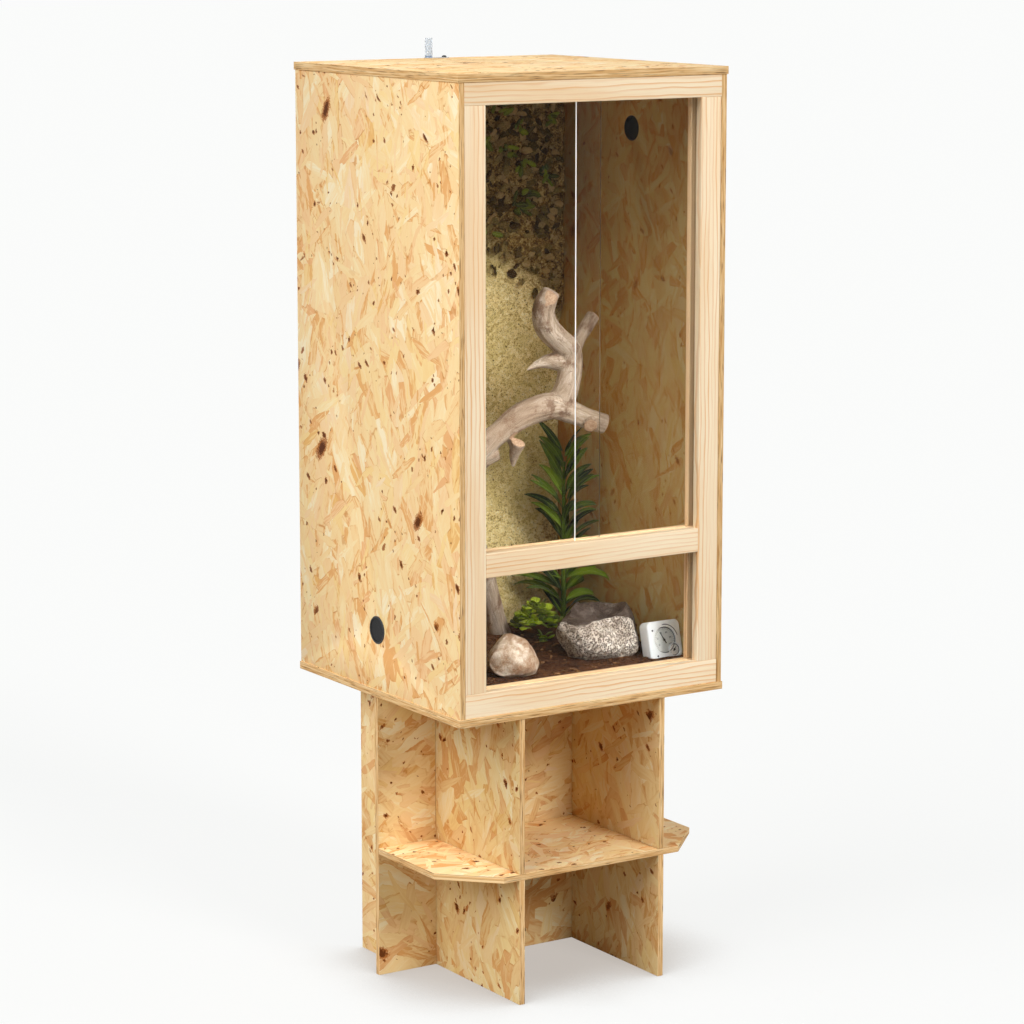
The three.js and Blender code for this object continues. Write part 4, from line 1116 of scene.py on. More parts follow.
@dataclass(frozen=True)
class CorkWall(Finish):
    """Sprayed granular background: olive-yellow grains low down, brown crumbs among the clumps high up."""

    def shader(self, g: Graph) -> Out:
        """Grains over a base with soft darker patches of painted shade; the crumb colours take over where the relief is
        stored as high.
        """
        place = g.place()
        grains = g.use("grit", {"Position": place, "Coarse": 130.0, "Fine": 430.0})
        sand = g.ramp(grains["Tone"], ( (0.12, (178, 148, 88)), (0.40, (232, 210, 146)), (0.66, (246, 228, 166)),
            (0.92, (253, 243, 198))))
        # Painted shade: soft darker olive patches at random, standing in for shadows on the wall.
        cloud = g.between(g.noise(place, 7.0, 3.0), 0.38, 0.66)
        sand = g.stain(sand, cloud, 0.50, (188, 172, 106))
        crumbs = g.ramp(grains["Tone"], ( (0.10, (62, 42, 18)), (0.38, (110, 84, 42)), (0.62, (148, 120, 68)),
            (0.90, (192, 166, 108))))
        clump = g.stored("clump")
        colour = g.blend(g.between(clump, 0.15, 0.85), sand, crumbs)
        speck = g.cells(place, 240.0)
        dark = g.times(g.between(speck["Distance"], 0.34, 0.20),
            g.math("GREATER_THAN", g.parts(speck["Color"])[0], 0.60))
        colour = g.stain(colour, dark, 0.60, (126, 96, 50))
        large = g.cells(g.drift(place, 80.0, 0.006), 62.0)
        knot = g.times(g.between(large["Distance"], 0.13, 0.09),
            g.math("GREATER_THAN", g.parts(large["Color"])[0], 0.62))
        colour = g.stain(colour, knot, 0.85, (74, 50, 22))
        colour = g.stain(colour, grains["Pit"], 0.45, (112, 90, 50))
        return principled(g, colour, 0.92, grains["Height"], 2.2 * MM, shine=0.06)


@dataclass(frozen=True)
class Bark(Finish):
    """Loose bark or cork chips, each with its own tone."""

    dark: Triple = (66, 46, 22)
    light: Triple = (186, 158, 108)
    green: Triple = (120, 102, 52)

    def shader(self, g: Graph) -> Out:
        """The chip's stored tone picks between dark, olive and light, with a grain over it."""
        tone = g.stored("tone")
        grains = g.use("grit", {"Position": g.place(), "Coarse": 260.0, "Fine": 800.0})
        told = g.plus(tone, g.scaled(grains["Tone"], 0.4, -0.2))
        colour = g.ramp(told, ((0.05, self.dark), (0.45, self.green), (0.95, self.light)))
        return principled(g, colour, 0.85, grains["Height"], 1.0 * MM, shine=0.2)


@dataclass(frozen=True)
class Earth(Finish):
    """Damp dark soil of crumbs."""

    def shader(self, g: Graph) -> Out:
        """Reddish-brown crumbs with dark gaps and a few pale fibres."""
        place = g.place()
        grains = g.use("grit", {"Position": place, "Coarse": 150.0, "Fine": 520.0})
        colour = g.ramp(grains["Tone"], ( (0.10, (30, 16, 8)), (0.50, (74, 44, 25)), (0.90, (112, 74, 46))))
        colour = g.stain(colour, grains["Pit"], 0.9, (30, 18, 10))
        fibre = g.cells(g.stretch(g.drift(place, 30.0, 0.02), (70.0, 500.0, 200.0)))
        straw = g.times(g.between(fibre["Distance"], 0.14, 0.08),
            g.math("GREATER_THAN", g.parts(fibre["Color"])[1], 0.8))
        colour = g.stain(colour, straw, 0.6, (196, 158, 110))
        return principled(g, colour, 0.88, grains["Height"], 2.5 * MM, shine=0.10)


@dataclass(frozen=True)
class Driftwood(Finish):
    """Barkless pale wood with brown weathered streaks along it and pinkish sawn ends."""

    def shader(self, g: Graph) -> Out:
        """Streaks follow the stored way along the branch; the sawn mask brings the fresh wood."""
        flow = g.stored("flow", "Vector")
        place = g.place()
        streak = g.streaks(flow, (9.0, 90.0, 90.0), 4.0, 0.6)
        fine = g.streaks(flow, (40.0, 600.0, 600.0), 2.0)
        blotch = g.streaks(g.drift(place, 12.0, 0.03), (34.0, 34.0, 26.0), 5.0, 0.7)
        base = g.ramp(g.plus(g.times(streak, 0.7), g.times(fine, 0.3)),
            ( (0.30, (124, 104, 86)), (0.50, (182, 164, 146)), (0.70, (228, 216, 202))))
        stained = g.stain(base, g.between(blotch, 0.50, 0.64), 0.75, (116, 84, 62))
        wet = g.between(g.noise(place, 8.0, 2.0), 0.55, 0.72)
        stained = g.stain(stained, wet, 0.45, (146, 122, 102))
        crack = g.cells(g.stretch(g.drift(flow, 30.0, 0.01), (16.0, 170.0, 170.0)), feature="DISTANCE_TO_EDGE")
        split = g.times(g.between(crack["Distance"], 0.035, 0.008), g.between(streak, 0.52, 0.62))
        stained = g.stain(stained, split, 0.6, (104, 72, 52))
        fresh_grain = g.noise(place, 260.0, 3.0)
        fresh = g.ramp(fresh_grain, ((0.3, (168, 132, 106)), (0.7, (206, 180, 154))))
        colour = g.blend(g.between(g.stored("sawn"), 0.35, 0.65), stained, fresh)
        height = g.minus(g.plus(streak, g.times(fine, 0.25)), split)
        return principled(g, colour, 0.72, height, 1.4 * MM, shine=0.25)


@dataclass(frozen=True)
class Leaf(Finish):
    """Waxy leaf with a paler midrib."""

    deep: Triple = (24, 52, 14)
    bright: Triple = (92, 138, 44)
    rib: Triple = (140, 176, 84)
    veins: float = 16.0
    gloss: float = 0.36

    def shader(self, g: Graph) -> Out:
        """The leaf's stored tone picks its green; veins and midrib lighten it, its edge darkens it."""
        uv = g.node("UVMap").outputs[0]
        vein = g.use("leaf_veins", {"UV": uv, "Slant": 1.3, "Count": self.veins})
        mottle = g.noise(g.place(), 60.0, 3.0)
        told = g.plus(g.stored("tone"), g.scaled(mottle, 0.5, -0.25))
        green = g.ramp(told, ((0.05, self.deep), (0.95, self.bright)))
        green = g.stain(green, vein["Vein"], 0.16, self.rib)
        green = g.stain(green, vein["Midrib"], 0.45, self.rib)
        green = g.stain(green, vein["Edge"], 0.25, self.deep)
        height = g.minus(0.0, g.plus(g.times(vein["Vein"], 0.3), vein["Midrib"]))
        return principled(
            g, green, g.lerp(mottle, self.gloss - 0.06, self.gloss + 0.1), height, 0.4 * MM,
            shine=0.18, Sheen_Weight=0.05)


@dataclass(frozen=True)
class PaleStone(Finish):
    """Rough pale pinkish stone with rusty pits."""

    def shader(self, g: Graph) -> Out:
        """Cloudy cream and rust with fine crystals."""
        place = g.place()
        cloud = g.noise(place, 40.0, 6.0, 0.68)
        colour = g.ramp(cloud, ( (0.30, (132, 100, 76)), (0.44, (166, 140, 116)), (0.56, (198, 182, 164)),
            (0.72, (234, 227, 217))))
        rust = g.between(g.noise(g.drift(place, 30.0, 0.02), 60.0, 4.0, 0.7), 0.50, 0.64)
        colour = g.stain(colour, rust, 0.55, (148, 106, 74))
        grains = g.use("grit", {"Position": place, "Coarse": 170.0, "Fine": 700.0})
        colour = g.stain(colour, grains["Pit"], 0.45, (150, 104, 76))
        height = g.plus(g.times(cloud, 1.4), g.times(grains["Height"], 0.5))
        return principled(g, colour, 0.8, height, 1.8 * MM, shine=0.3)


@dataclass(frozen=True)
class PorousRock(Finish):
    """Rock bowl: pale and full of dark pores in front, smooth dark grey-brown on its rim, back and hollow, darkened as
    painted shade.
    """

    def shader(self, g: Graph) -> Out:
        """Pores are round cells with dark middles; the stored front mask picks the pale porous face."""
        place = g.place()
        bent = g.drift(place, 70.0, 0.006, 2.0)
        pore = g.cells(bent, 290.0)
        hole = g.between(pore["Distance"], 0.56, 0.36)
        small = g.between(g.cells(bent, 420.0)["Distance"], 0.36, 0.22)
        wall = g.noise(g.drift(place, 26.0, 0.02), 46.0, 5.0, 0.7)
        pale = g.ramp(wall, ((0.34, (150, 136, 124)), (0.50, (206, 195, 184)), (0.66, (244, 239, 233))))
        porous = g.stain(pale, hole, 0.80, (88, 72, 62))
        porous = g.stain(porous, small, 0.25, (120, 102, 90))
        # The rock's own grey-brown rim colour, made darker as painted shade because it also covers the hollow and the
        # back.
        smooth = g.ramp(g.noise(place, 34.0, 4.0, 0.6), ( (0.30, (60, 49, 43)), (0.55, (98, 84, 76)),
            (0.78, (150, 136, 126))))
        smooth = g.stain(smooth, hole, 0.55, (54, 44, 40))
        front = g.between(g.plus(g.stored("front"), g.scaled(wall, 0.5, -0.25)), 0.42, 0.58)
        colour = g.blend(front, smooth, porous)
        height = g.minus(g.times(wall, 0.6), g.times(hole, g.lerp(front, 0.15, 1.0)))
        return principled(g, colour, 0.78, height, 2.4 * MM, shine=0.3)


# ---- inside the box


@dataclass
class Room:
    """Clear inside of the box, read off the CAD boards, in metres."""

    left: float
    right: float
    glass_back: float
    wall: float
    floor: float
    ceiling: float
    ground: float

    @classmethod
    def measured(cls) -> "Room":
        """Reads the room off the boards, the background and the soil's level of the stone."""
        back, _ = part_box("background")
        return cls(
            left=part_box("left_side_panel")[1].x, right=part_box("right_side_panel")[0].x,
            glass_back=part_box("sill_guide")[1].y, wall=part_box("back_panel")[0].y,
            floor=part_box("base_board")[1].z, ceiling=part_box("lid_board")[0].z, ground=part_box("pale_stone")[0].z)


@dataclass
class Background:
    """Relief wall: a rippled sheet that swells into clumps high up, with bark chips stuck to them."""

    room: Room
    pitch: float = 62 * MM
    rise: float = 30 * MM
    sheet: float = 30 * MM
    low: float = 0.63
    blend: float = 0.12
    rows: int = 330
    columns: int = 170
    chips: int = 760
    play: float = 0.3 * MM
    seed: int = 5

    def clump(self, x: Array, z: Array) -> Array:
        """Share from 0 to 1 of the clumps at a place: grows with height, and starts lower towards the right."""
        share = (z - self.room.floor) / (self.room.ceiling - self.room.floor)
        lean = 0.10 * smooth_step(0.3, 1.0, x / self.room.right)
        ragged = 0.05 * noise(rows_of(x, z, z * 0), 0.09, self.seed, 2)
        return smooth_step(self.low - lean, self.low - lean + self.blend, share + ragged)

    def front(self, x: Array, z: Array) -> Array:
        """Depth of the wall's front: plain depth, less low ripples, less rounded lumps times the clump share."""
        flat = rows_of(x, z, np.zeros_like(x))
        lumps = 0.5 + 0.5 * noise(flat, self.pitch, self.seed + 3, 1)
        crumbs = 0.5 + 0.5 * noise(flat, self.pitch / 3, self.seed + 4, 2)
        ripple = 1.2 * MM * noise(flat, 22 * MM, self.seed + 6, 2)
        share = self.clump(x, z)
        swell = share * self.rise * (0.30 + 0.45 * lumps + 0.30 * crumbs)
        return self.room.wall - self.sheet - ripple - np.minimum(swell, self.rise)

    def build(self) -> None:
        """Sheet, its closed back, and the chips."""
        low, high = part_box("background")
        span_x = np.linspace(low.x + self.play, high.x - self.play, self.columns)
        span_z = np.linspace(low.z + self.play, high.z - self.play, self.rows)
        x, z = np.meshgrid(span_x, span_z, indexing="xy")
        wall = slab("background_wall", rows_of(x, np.maximum(self.front(x, z), low.y), z), 1, high.y)
        store(wall.data, "clump", np.tile(self.clump(x, z).ravel(), 2))
        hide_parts("background")
        deliver(wall, [CorkWall("cork_wall").material()])
        self._chips(low, high)

    def _chips(self, low: Array, high: Array) -> None:
        """Curved flakes of bark: small bowed grids turned at random, set where the clumps are."""
        rng = np.random.default_rng(self.seed)
        tries = rng.uniform((low.x + 0.02, low.z + 0.35), (high.x - 0.02, high.z - 0.02), (self.chips * 6, 2))
        keep = tries[rng.random(len(tries)) < self.clump(tries[:, 0], tries[:, 1]) + 0.004][: self.chips]
        depth = self.front(keep[:, 0], keep[:, 1])
        centre = rows_of(keep[:, 0], depth, keep[:, 1])
        points, faces, number = leaf_shapes(
            centre, turn=rng.uniform(0, 2 * math.pi, len(keep)), pitch=rng.uniform(-0.2, 1.1, len(keep)),
            length=rng.uniform(9, 32, len(keep)) * MM, width=rng.uniform(7, 19, len(keep)) * MM,
            bow=rng.uniform(-0.5, 0.9, len(keep)), ragged=0.22, seed=self.seed)
        points[:, 1] = np.clip(points[:, 1], low.y - 6 * MM, high.y - 3 * MM)
        points[:, 0] = np.clip(points[:, 0], low.x + 1 * MM, high.x - 1 * MM)
        points[:, 2] = np.minimum(points[:, 2], high.z - 1 * MM)
        chips = mesh_piece("bark_chips", points, faces)
        store(chips.data, "tone", rng.random(len(keep))[number])
        walled(chips, 1.6 * MM)
        deliver(chips, [Bark("bark_chips").material()])


def leaf_shapes(
    root: Array, turn: Array, pitch: Array, length: Array, width: Array, bow: Array,
    ragged: float, seed: int, rows: int = 6, columns: int = 5,
) -> tuple[Array, list[Array], Array]:
    """Small bowed leaves or chips that lie against the wall: each an oval grid on its own slanted frame.

    The half width at share t is width/2 times the root of 1-(2t-1)^2, the middle bows out by bow*width/4, and the
    border moves by a random share. turn spins it in the wall's plane, pitch tips its far end out of the wall.

    Args:
        root: Each shape's near end.
        turn: Spins.
        pitch: Tips.
        length: Lengths.
        width: Widths.
        bow: Bows.
        ragged: Share by which the border moves.
        seed: Picks the border.
        rows: Points along a shape.
        columns: Points across it.

    Returns:
        The points, the faces, and each point's shape.
    """
    count = len(root)
    t = np.linspace(0.02, 0.98, rows)[None, :, None]
    u = np.linspace(-1, 1, columns)[None, None, :]
    half = np.sqrt(np.clip(1 - (2 * t - 1) ** 2, 0, 1)) * width[:, None, None] / 2
    cells = np.stack(np.meshgrid(np.arange(count), np.arange(rows), np.arange(columns), indexing="ij"), axis=-1)
    jitter = 1 + ragged * (2 * hashed(cells, seed) - 1)
    across = u * half * jitter
    along = t * length[:, None, None] * (1 + 0.4 * ragged * (2 * hashed(cells, seed + 1) - 1))
    out = bow[:, None, None] * (1 - u**2) * width[:, None, None] / 4 + 0.25 * (t**2) * length[:, None, None] * bow[:,
        None, None]
    cos_turn, sin_turn = np.cos(turn), np.sin(turn)
    cos_pitch, sin_pitch = np.cos(pitch), np.sin(pitch)
    run = rows_of(cos_turn * cos_pitch, -sin_pitch, sin_turn * cos_pitch)
    side = rows_of(-sin_turn, np.zeros(count), cos_turn)
    up = np.cross(run, side)
    frames = [axis[:, None, None, :] for axis in (run, side, up)]
    places = root[:, None, None] + along[..., None] * frames[0] + across[..., None] * frames[1] + out[...,
        None] * frames[2]
    return places.reshape(-1, 3), [each_grid(count, rows, columns)], np.repeat(np.arange(count), rows * columns)


@dataclass
class Branch:
    """Forked driftwood branch, its limbs grown together.

    Each station is (east, deep, up, radius) in millimetres: from the right side panel, from the plain background and
    up from the level that the dressing stands on.
    """

    room: Room
    wall: float
    voxel: float = 2.3 * MM
    limbs: dict[str, tuple[tuple[float, float, float, float], ...]] = field(default_factory=lambda: {
        "leg": ((178, 72, -20, 25), (202, 84, 14, 23), (228, 102, 68, 22), (258, 124, 128, 22), (296, 152, 196, 23),
                (338, 178, 284, 23), (352, 192, 346, 24), (326, 200, 386, 25), (288, 208, 405, 24)),
        "limb": ((346, 202, 374, 18), (312, 210, 414, 24), (284, 215, 436, 24), (241, 220, 464, 26),
            (196, 224, 479, 28),
                 (161, 228, 482, 27), (131, 234, 470, 23), (102, 244, 457, 20), (60, 261, 441, 18)),
        "trunk": ((157, 226, 478, 27), (138, 225, 502, 25), (124, 222, 532, 24), (117, 218, 563, 24),
            (124, 217, 592, 24),
                  (151, 219, 615, 24), (177, 225, 640, 24), (190, 232, 668, 23), (188, 240, 694, 22), (180, 247, 712,
                      18)),
        "fork": ((117, 218, 575, 18), (104, 213, 594, 15), (88, 208, 612, 12.5), (70, 204, 632, 12.5),
            (51, 200, 652, 13.5)),
        "spur": ((128, 214, 566, 20), (150, 212, 568, 17), (172, 210, 568, 12.5), (196, 210, 562, 7),
            (216, 210, 554, 2)),
        "stub": ((90, 250, 452, 13), (100, 262, 447, 13.5), (105, 271, 443, 13)),
        "knot": ((256, 226, 370, 3), (256, 228, 388, 9), (255, 234, 406, 13.5), (254, 241, 420, 14.5)),
        "bridge": ((254, 226, 402, 6), (262, 214, 438, 10)),
    })
    sawn_ends: tuple[str, ...] = ("limb", "fork", "stub", "knot")
    scar: tuple[float, float, float, float] = (190, 259, 701, 17)
    seed: int = 11

    def line(self, name: str) -> Array:
        """Smooth centre line of a limb with its radius, in metres of the row frame."""
        stations = np.array(self.limbs[name], float) * MM
        placed = rows_of(self.room.right - stations[:, 0], self.wall - stations[:, 1],
            self.room.ground + stations[:, 2], stations[:, 3])
        return spline(placed, 10)

    def build(self) -> None:
        """Tubes with swollen knees, one skin, then weathered hollows along the grain."""
        lines = {name: self.line(name) for name in self.limbs}
        tubes = []
        for k, line in enumerate(lines.values()):
            swell = 1 + 0.06 * noise(line[:, :3], 0.05, self.seed + k)
            tubes.append(tube(line[:, :3], line[:, 3] * swell, 32))
        branch = mesh_piece("driftwood_branch", *together(tubes))
        remeshed(branch, self.voxel, 2)
        points = points_of(branch.data)
        flow, sawn = self._flow(points, lines)
        keep = 1 - smooth_step(0.2, 0.8, sawn)
        lumps = 2.2 * MM * noise(points, 0.045, self.seed, 2)
        grooves = 0.9 * MM * noise(flow * np.array([10.0, 95.0, 95.0]), 1.0, self.seed + 1, 2)
        ridges = 0.5 * MM * noise(flow * np.array([24.0, 260.0, 260.0]), 1.0, self.seed + 2, 1)
        displaced(branch, (lumps + grooves + ridges) * keep)
        low = points_of(branch.data)
        low[:, 2] = np.maximum(low[:, 2], self.room.ground - 12 * MM)
        set_points(branch.data, low)
        store(branch.data, "flow", flow)
        store(branch.data, "sawn", sawn)
        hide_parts("branch")
        deliver(branch, [Driftwood("driftwood").material()])

    def _flow(self, points: Array, lines: dict[str, Array]) -> tuple[Array, Array]:
        """For each point the nearest limb's way: metres run along it, and the offset from its line across it.

        Args:
            points: Points of the skin.
            lines: Centre lines with radii.

        Returns:
            The way, and the share of sawn face.
        """
        best = np.full(len(points), np.inf)
        flow = np.zeros((len(points), 3))
        sawn = np.zeros(len(points))
        for k, (name, line) in enumerate(lines.items()):
            centre, radius = line[:, :3], line[:, 3]
            run = unit(np.gradient(centre, axis=0))
            length = np.concatenate([[0], np.cumsum(np.linalg.norm(np.diff(centre, axis=0), axis=1))])
            gap = np.linalg.norm(points[:, None] - centre[None], axis=-1)
            near = np.argmin(gap, axis=1)
            score = gap[np.arange(len(points)), near] / radius[near]
            offset = points - centre[near]
            ahead = np.sum(offset * run[near], axis=-1)
            across = offset - ahead[:, None] * run[near]
            nearer = score < best
            best = np.where(nearer, score, best)
            way = rows_of(length[near] + ahead + k, across[:, 0] + across[:, 1], across[:, 2] - across[:, 1])
            flow = np.where(nearer[:, None], way, flow)
            if name in self.sawn_ends:
                past = (points - centre[-1]) @ run[-1]
                close = np.linalg.norm(points - centre[-1], axis=-1) < 1.35 * radius[-1]
                sawn = np.maximum(sawn, smooth_step(-2.6 * MM, -1.0 * MM, past) * close)
        east, deep, up, reach = np.array(self.scar) * MM
        middle = np.array([self.room.right - east, self.wall - deep, self.room.ground + up])
        torn = np.linalg.norm(points - middle, axis=-1) / reach + 0.35 * noise(points, 0.012, self.seed + 3, 1)
        return flow, np.maximum(sawn, smooth_step(1.05, 0.85, torn))


@dataclass
class Ground:
    """Soil with low banks, and the crumbs and bark bits scattered on it."""

    room: Room
    rise: float = 9 * MM
    rows: int = 200
    bits: int = 260
    seed: int = 23

    def height(self, x: Array, y: Array) -> Array:
        """Level of the soil: low banks of two noises, never under the level that the dressing stands on."""
        flat = rows_of(x, y, np.zeros_like(x))
        banks = 0.5 + 0.5 * noise(flat, 0.16, self.seed, 2)
        crumbs = noise(flat, 0.016, self.seed + 1, 3)
        return self.room.ground + self.rise * banks * 0.8 + 1.6 * MM * crumbs

    def build(self) -> None:
        """Relief sheet closed by a skirt and a flat underside, and the bits on it."""
        low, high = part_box("soil")
        x, y = np.meshgrid(np.linspace(low.x, high.x, self.rows), np.linspace(low.y, high.y, self.rows), indexing="xy")
        top = rows_of(x, y, self.height(x, y))
        soil = slab("soil_bed", top, 2, low.z)
        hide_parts("soil")
        deliver(soil, [Earth("soil").material()])
        self._bits()

    def _bits(self) -> None:
        """Flat chips of bark lying about, each an oval grid turned at random."""
        rng = np.random.default_rng(self.seed)
        size = rng.uniform(4, 15, self.bits) * MM
        x = rng.uniform(self.room.left + 0.02, self.room.right - 0.02, self.bits)
        y = rng.uniform(self.room.glass_back + 0.02, self.room.wall - 0.07, self.bits)
        root = rows_of(x, self.height(x, y) + 1 * MM, y)
        points, faces, number = leaf_shapes(
            root, rng.uniform(0, 2 * math.pi, self.bits), rng.uniform(-0.3, 0.3, self.bits), size,
            size * rng.uniform(0.4, 0.8, self.bits), rng.uniform(-0.3, 0.6, self.bits), 0.3, self.seed, 5, 4)
        bits = mesh_piece("soil_bits", points[:, [0, 2, 1]], [block[:, ::-1] for block in faces])
        store(bits.data, "tone", rng.random(self.bits)[number])
        walled(bits, 1.2 * MM)
        deliver(bits, [Bark("soil_bits", light=(150, 108, 70), green=(96, 64, 40)).material()])


@dataclass
class Stones:
    """Pale stone and porous rock bowl, both roughened from their CAD forms."""

    voxel: float = 1.9 * MM
    seed: int = 31

    def build(self) -> None:
        """Pale stone with knobs and facets, bowl with a pitted wall."""
        stone = welded_copy("pale_stone")
        remeshed(stone, self.voxel, 3)
        points = points_of(stone.data)
        middle = (points.min(axis=0) + points.max(axis=0)) / 2
        half = np.ptp(points, axis=0) / 2
        rng = np.random.default_rng(self.seed)
        for facing in unit(rng.normal(size=(16, 3)) * np.array([1.0, 1.0, 0.7])):
            past = ((points - middle) / half) @ facing - rng.uniform(0.68, 0.88)
            points -= 0.85 * np.maximum(past, 0)[:, None] * facing * half * (facing[2] > -0.2)
        set_points(stone.data, points)
        knobs = 3.2 * MM * noise(points, 0.030, self.seed, 3)
        facets = 1.6 * MM * np.abs(noise(points, 0.014, self.seed + 1, 2))
        floor = smooth_step(0.0, 0.02, points[:, 2] - points[:, 2].min())
        displaced(stone, (knobs - facets) * floor)
        deliver(stone, [PaleStone("pale_stone").material()])
        bowl = welded_copy("rock_dish")
        remeshed(bowl, self.voxel, 3)
        points = points_of(bowl.data)
        normal = points_of(bowl.data, "normal")
        centre = (points.min(axis=0) + points.max(axis=0)) / 2
        height = (points[:, 2] - points[:, 2].min()) / np.ptp(points[:, 2])
        outward = unit((points - centre) * np.array([1, 1, 0]))
        towards = outward @ unit(np.array([-0.45, -1.0, 0.0]))
        outside = np.sum(normal * outward, axis=-1)
        # Front mask: the pale porous face towards the front; the hollow, the back and the top of the rim keep the
        # darker smooth colour, partly painted shade.
        front = smooth_step(0.05, 0.45, towards + 0.25 * noise(points, 0.05, self.seed + 5, 2)) \
            * smooth_step(-0.25, 0.2, outside + 0.25 * noise(points, 0.03, self.seed + 6)) \
            * smooth_step(1.02, 0.80, height + 0.10 * noise(points, 0.04, self.seed + 7))
        rim = smooth_step(0.45, 1.0, height)
        points[:, 2] += (13 * MM * smooth_step(0.6, -0.7, towards) - 7 * MM * smooth_step(0.0, 0.7, towards)) * rim
        set_points(bowl.data, points)
        lumps = 3.4 * MM * noise(points, 0.034, self.seed + 2, 2)
        worn = 1.6 * MM * noise(points, 0.010, self.seed + 3, 2) * front
        foot = smooth_step(0.0, 0.12, height)
        displaced(bowl, (lumps + worn) * foot)
        store(bowl.data, "front", front)
        deliver(bowl, [PorousRock("porous_rock").material()])


def blades(
    root: Array, azimuth: Array, length: Array, width: Array, rise: Array, bend: Array,
    fold: float, waist: float, roll: Array | float = 0.0, rows: int = 12, columns: int = 7,
) -> tuple[Array, list[Array], Array, Array, Array]:
    """Many arching leaves at once.

    The middle line leaves its root at the angle rise above the level and turns down by bend in all, so its height and
    reach are the running sums of the angle's sine and cosine. The half width at share t is width/2 times
    sin(pi t^waist) to the power 0.7; across the leaf both halves stand up by fold times the distance from the rib,
    and the whole leaf is rolled about its middle line.

    Args:
        root: Roots.
        azimuth: Directions round the upright.
        length: Lengths.
        width: Widths.
        rise: Angles at the root.
        bend: Angles turned over the length.
        fold: How steeply the halves stand.
        waist: Below 1 the widest place is nearer the root.
        roll: Angles of roll.
        rows: Points along a leaf.
        columns: Points across it.

    Returns:
        The points, the faces, each point's leaf, and its shares across and along the leaf.
    """
    count = len(root)
    t = np.linspace(0, 1, rows)[None, :]
    u = np.linspace(-1, 1, columns)
    angle = rise[:, None] - bend[:, None] * t**1.4
    step = length[:, None] / (rows - 1)
    reach = np.concatenate([np.zeros((count, 1)), np.cumsum(np.cos(angle[:, 1:]) * step, axis=1)], axis=1)
    climb = np.concatenate([np.zeros((count, 1)), np.cumsum(np.sin(angle[:, 1:]) * step, axis=1)], axis=1)
    half = width[:, None] / 2 * np.clip(np.sin(math.pi * np.clip(t, 0.02, 0.985) ** waist), 0, 1) ** 0.7
    out = rows_of(np.cos(azimuth), np.sin(azimuth), np.zeros(count))
    side = rows_of(-np.sin(azimuth), np.cos(azimuth), np.zeros(count))
    up = np.array([0.0, 0.0, 1.0])
    lean_out = -np.sin(angle)[..., None] * out[:, None] + np.cos(angle)[..., None] * up
    spine = root[:, None] + reach[..., None] * out[:, None] + climb[..., None] * up
    spread = u[None, None, :, None] * half[:, :, None, None]
    turn = (np.reshape(roll, (-1, 1)) * np.minimum(1.0, 3 * t))[..., None]
    flat = np.cos(turn) * side[:, None] + np.sin(turn) * lean_out
    raised = np.cos(turn) * lean_out - np.sin(turn) * side[:, None]
    places = spine[:, :, None] + spread * flat[:, :, None] + np.abs(spread) * fold * raised[:, :, None]
    number = np.repeat(np.arange(count), rows * columns)
    across = np.tile(np.tile((u + 1) / 2, rows), count)
    along = np.tile(np.repeat(t[0], columns), count)
    return places.reshape(-1, 3), [each_grid(count, rows, columns)], number, across, along


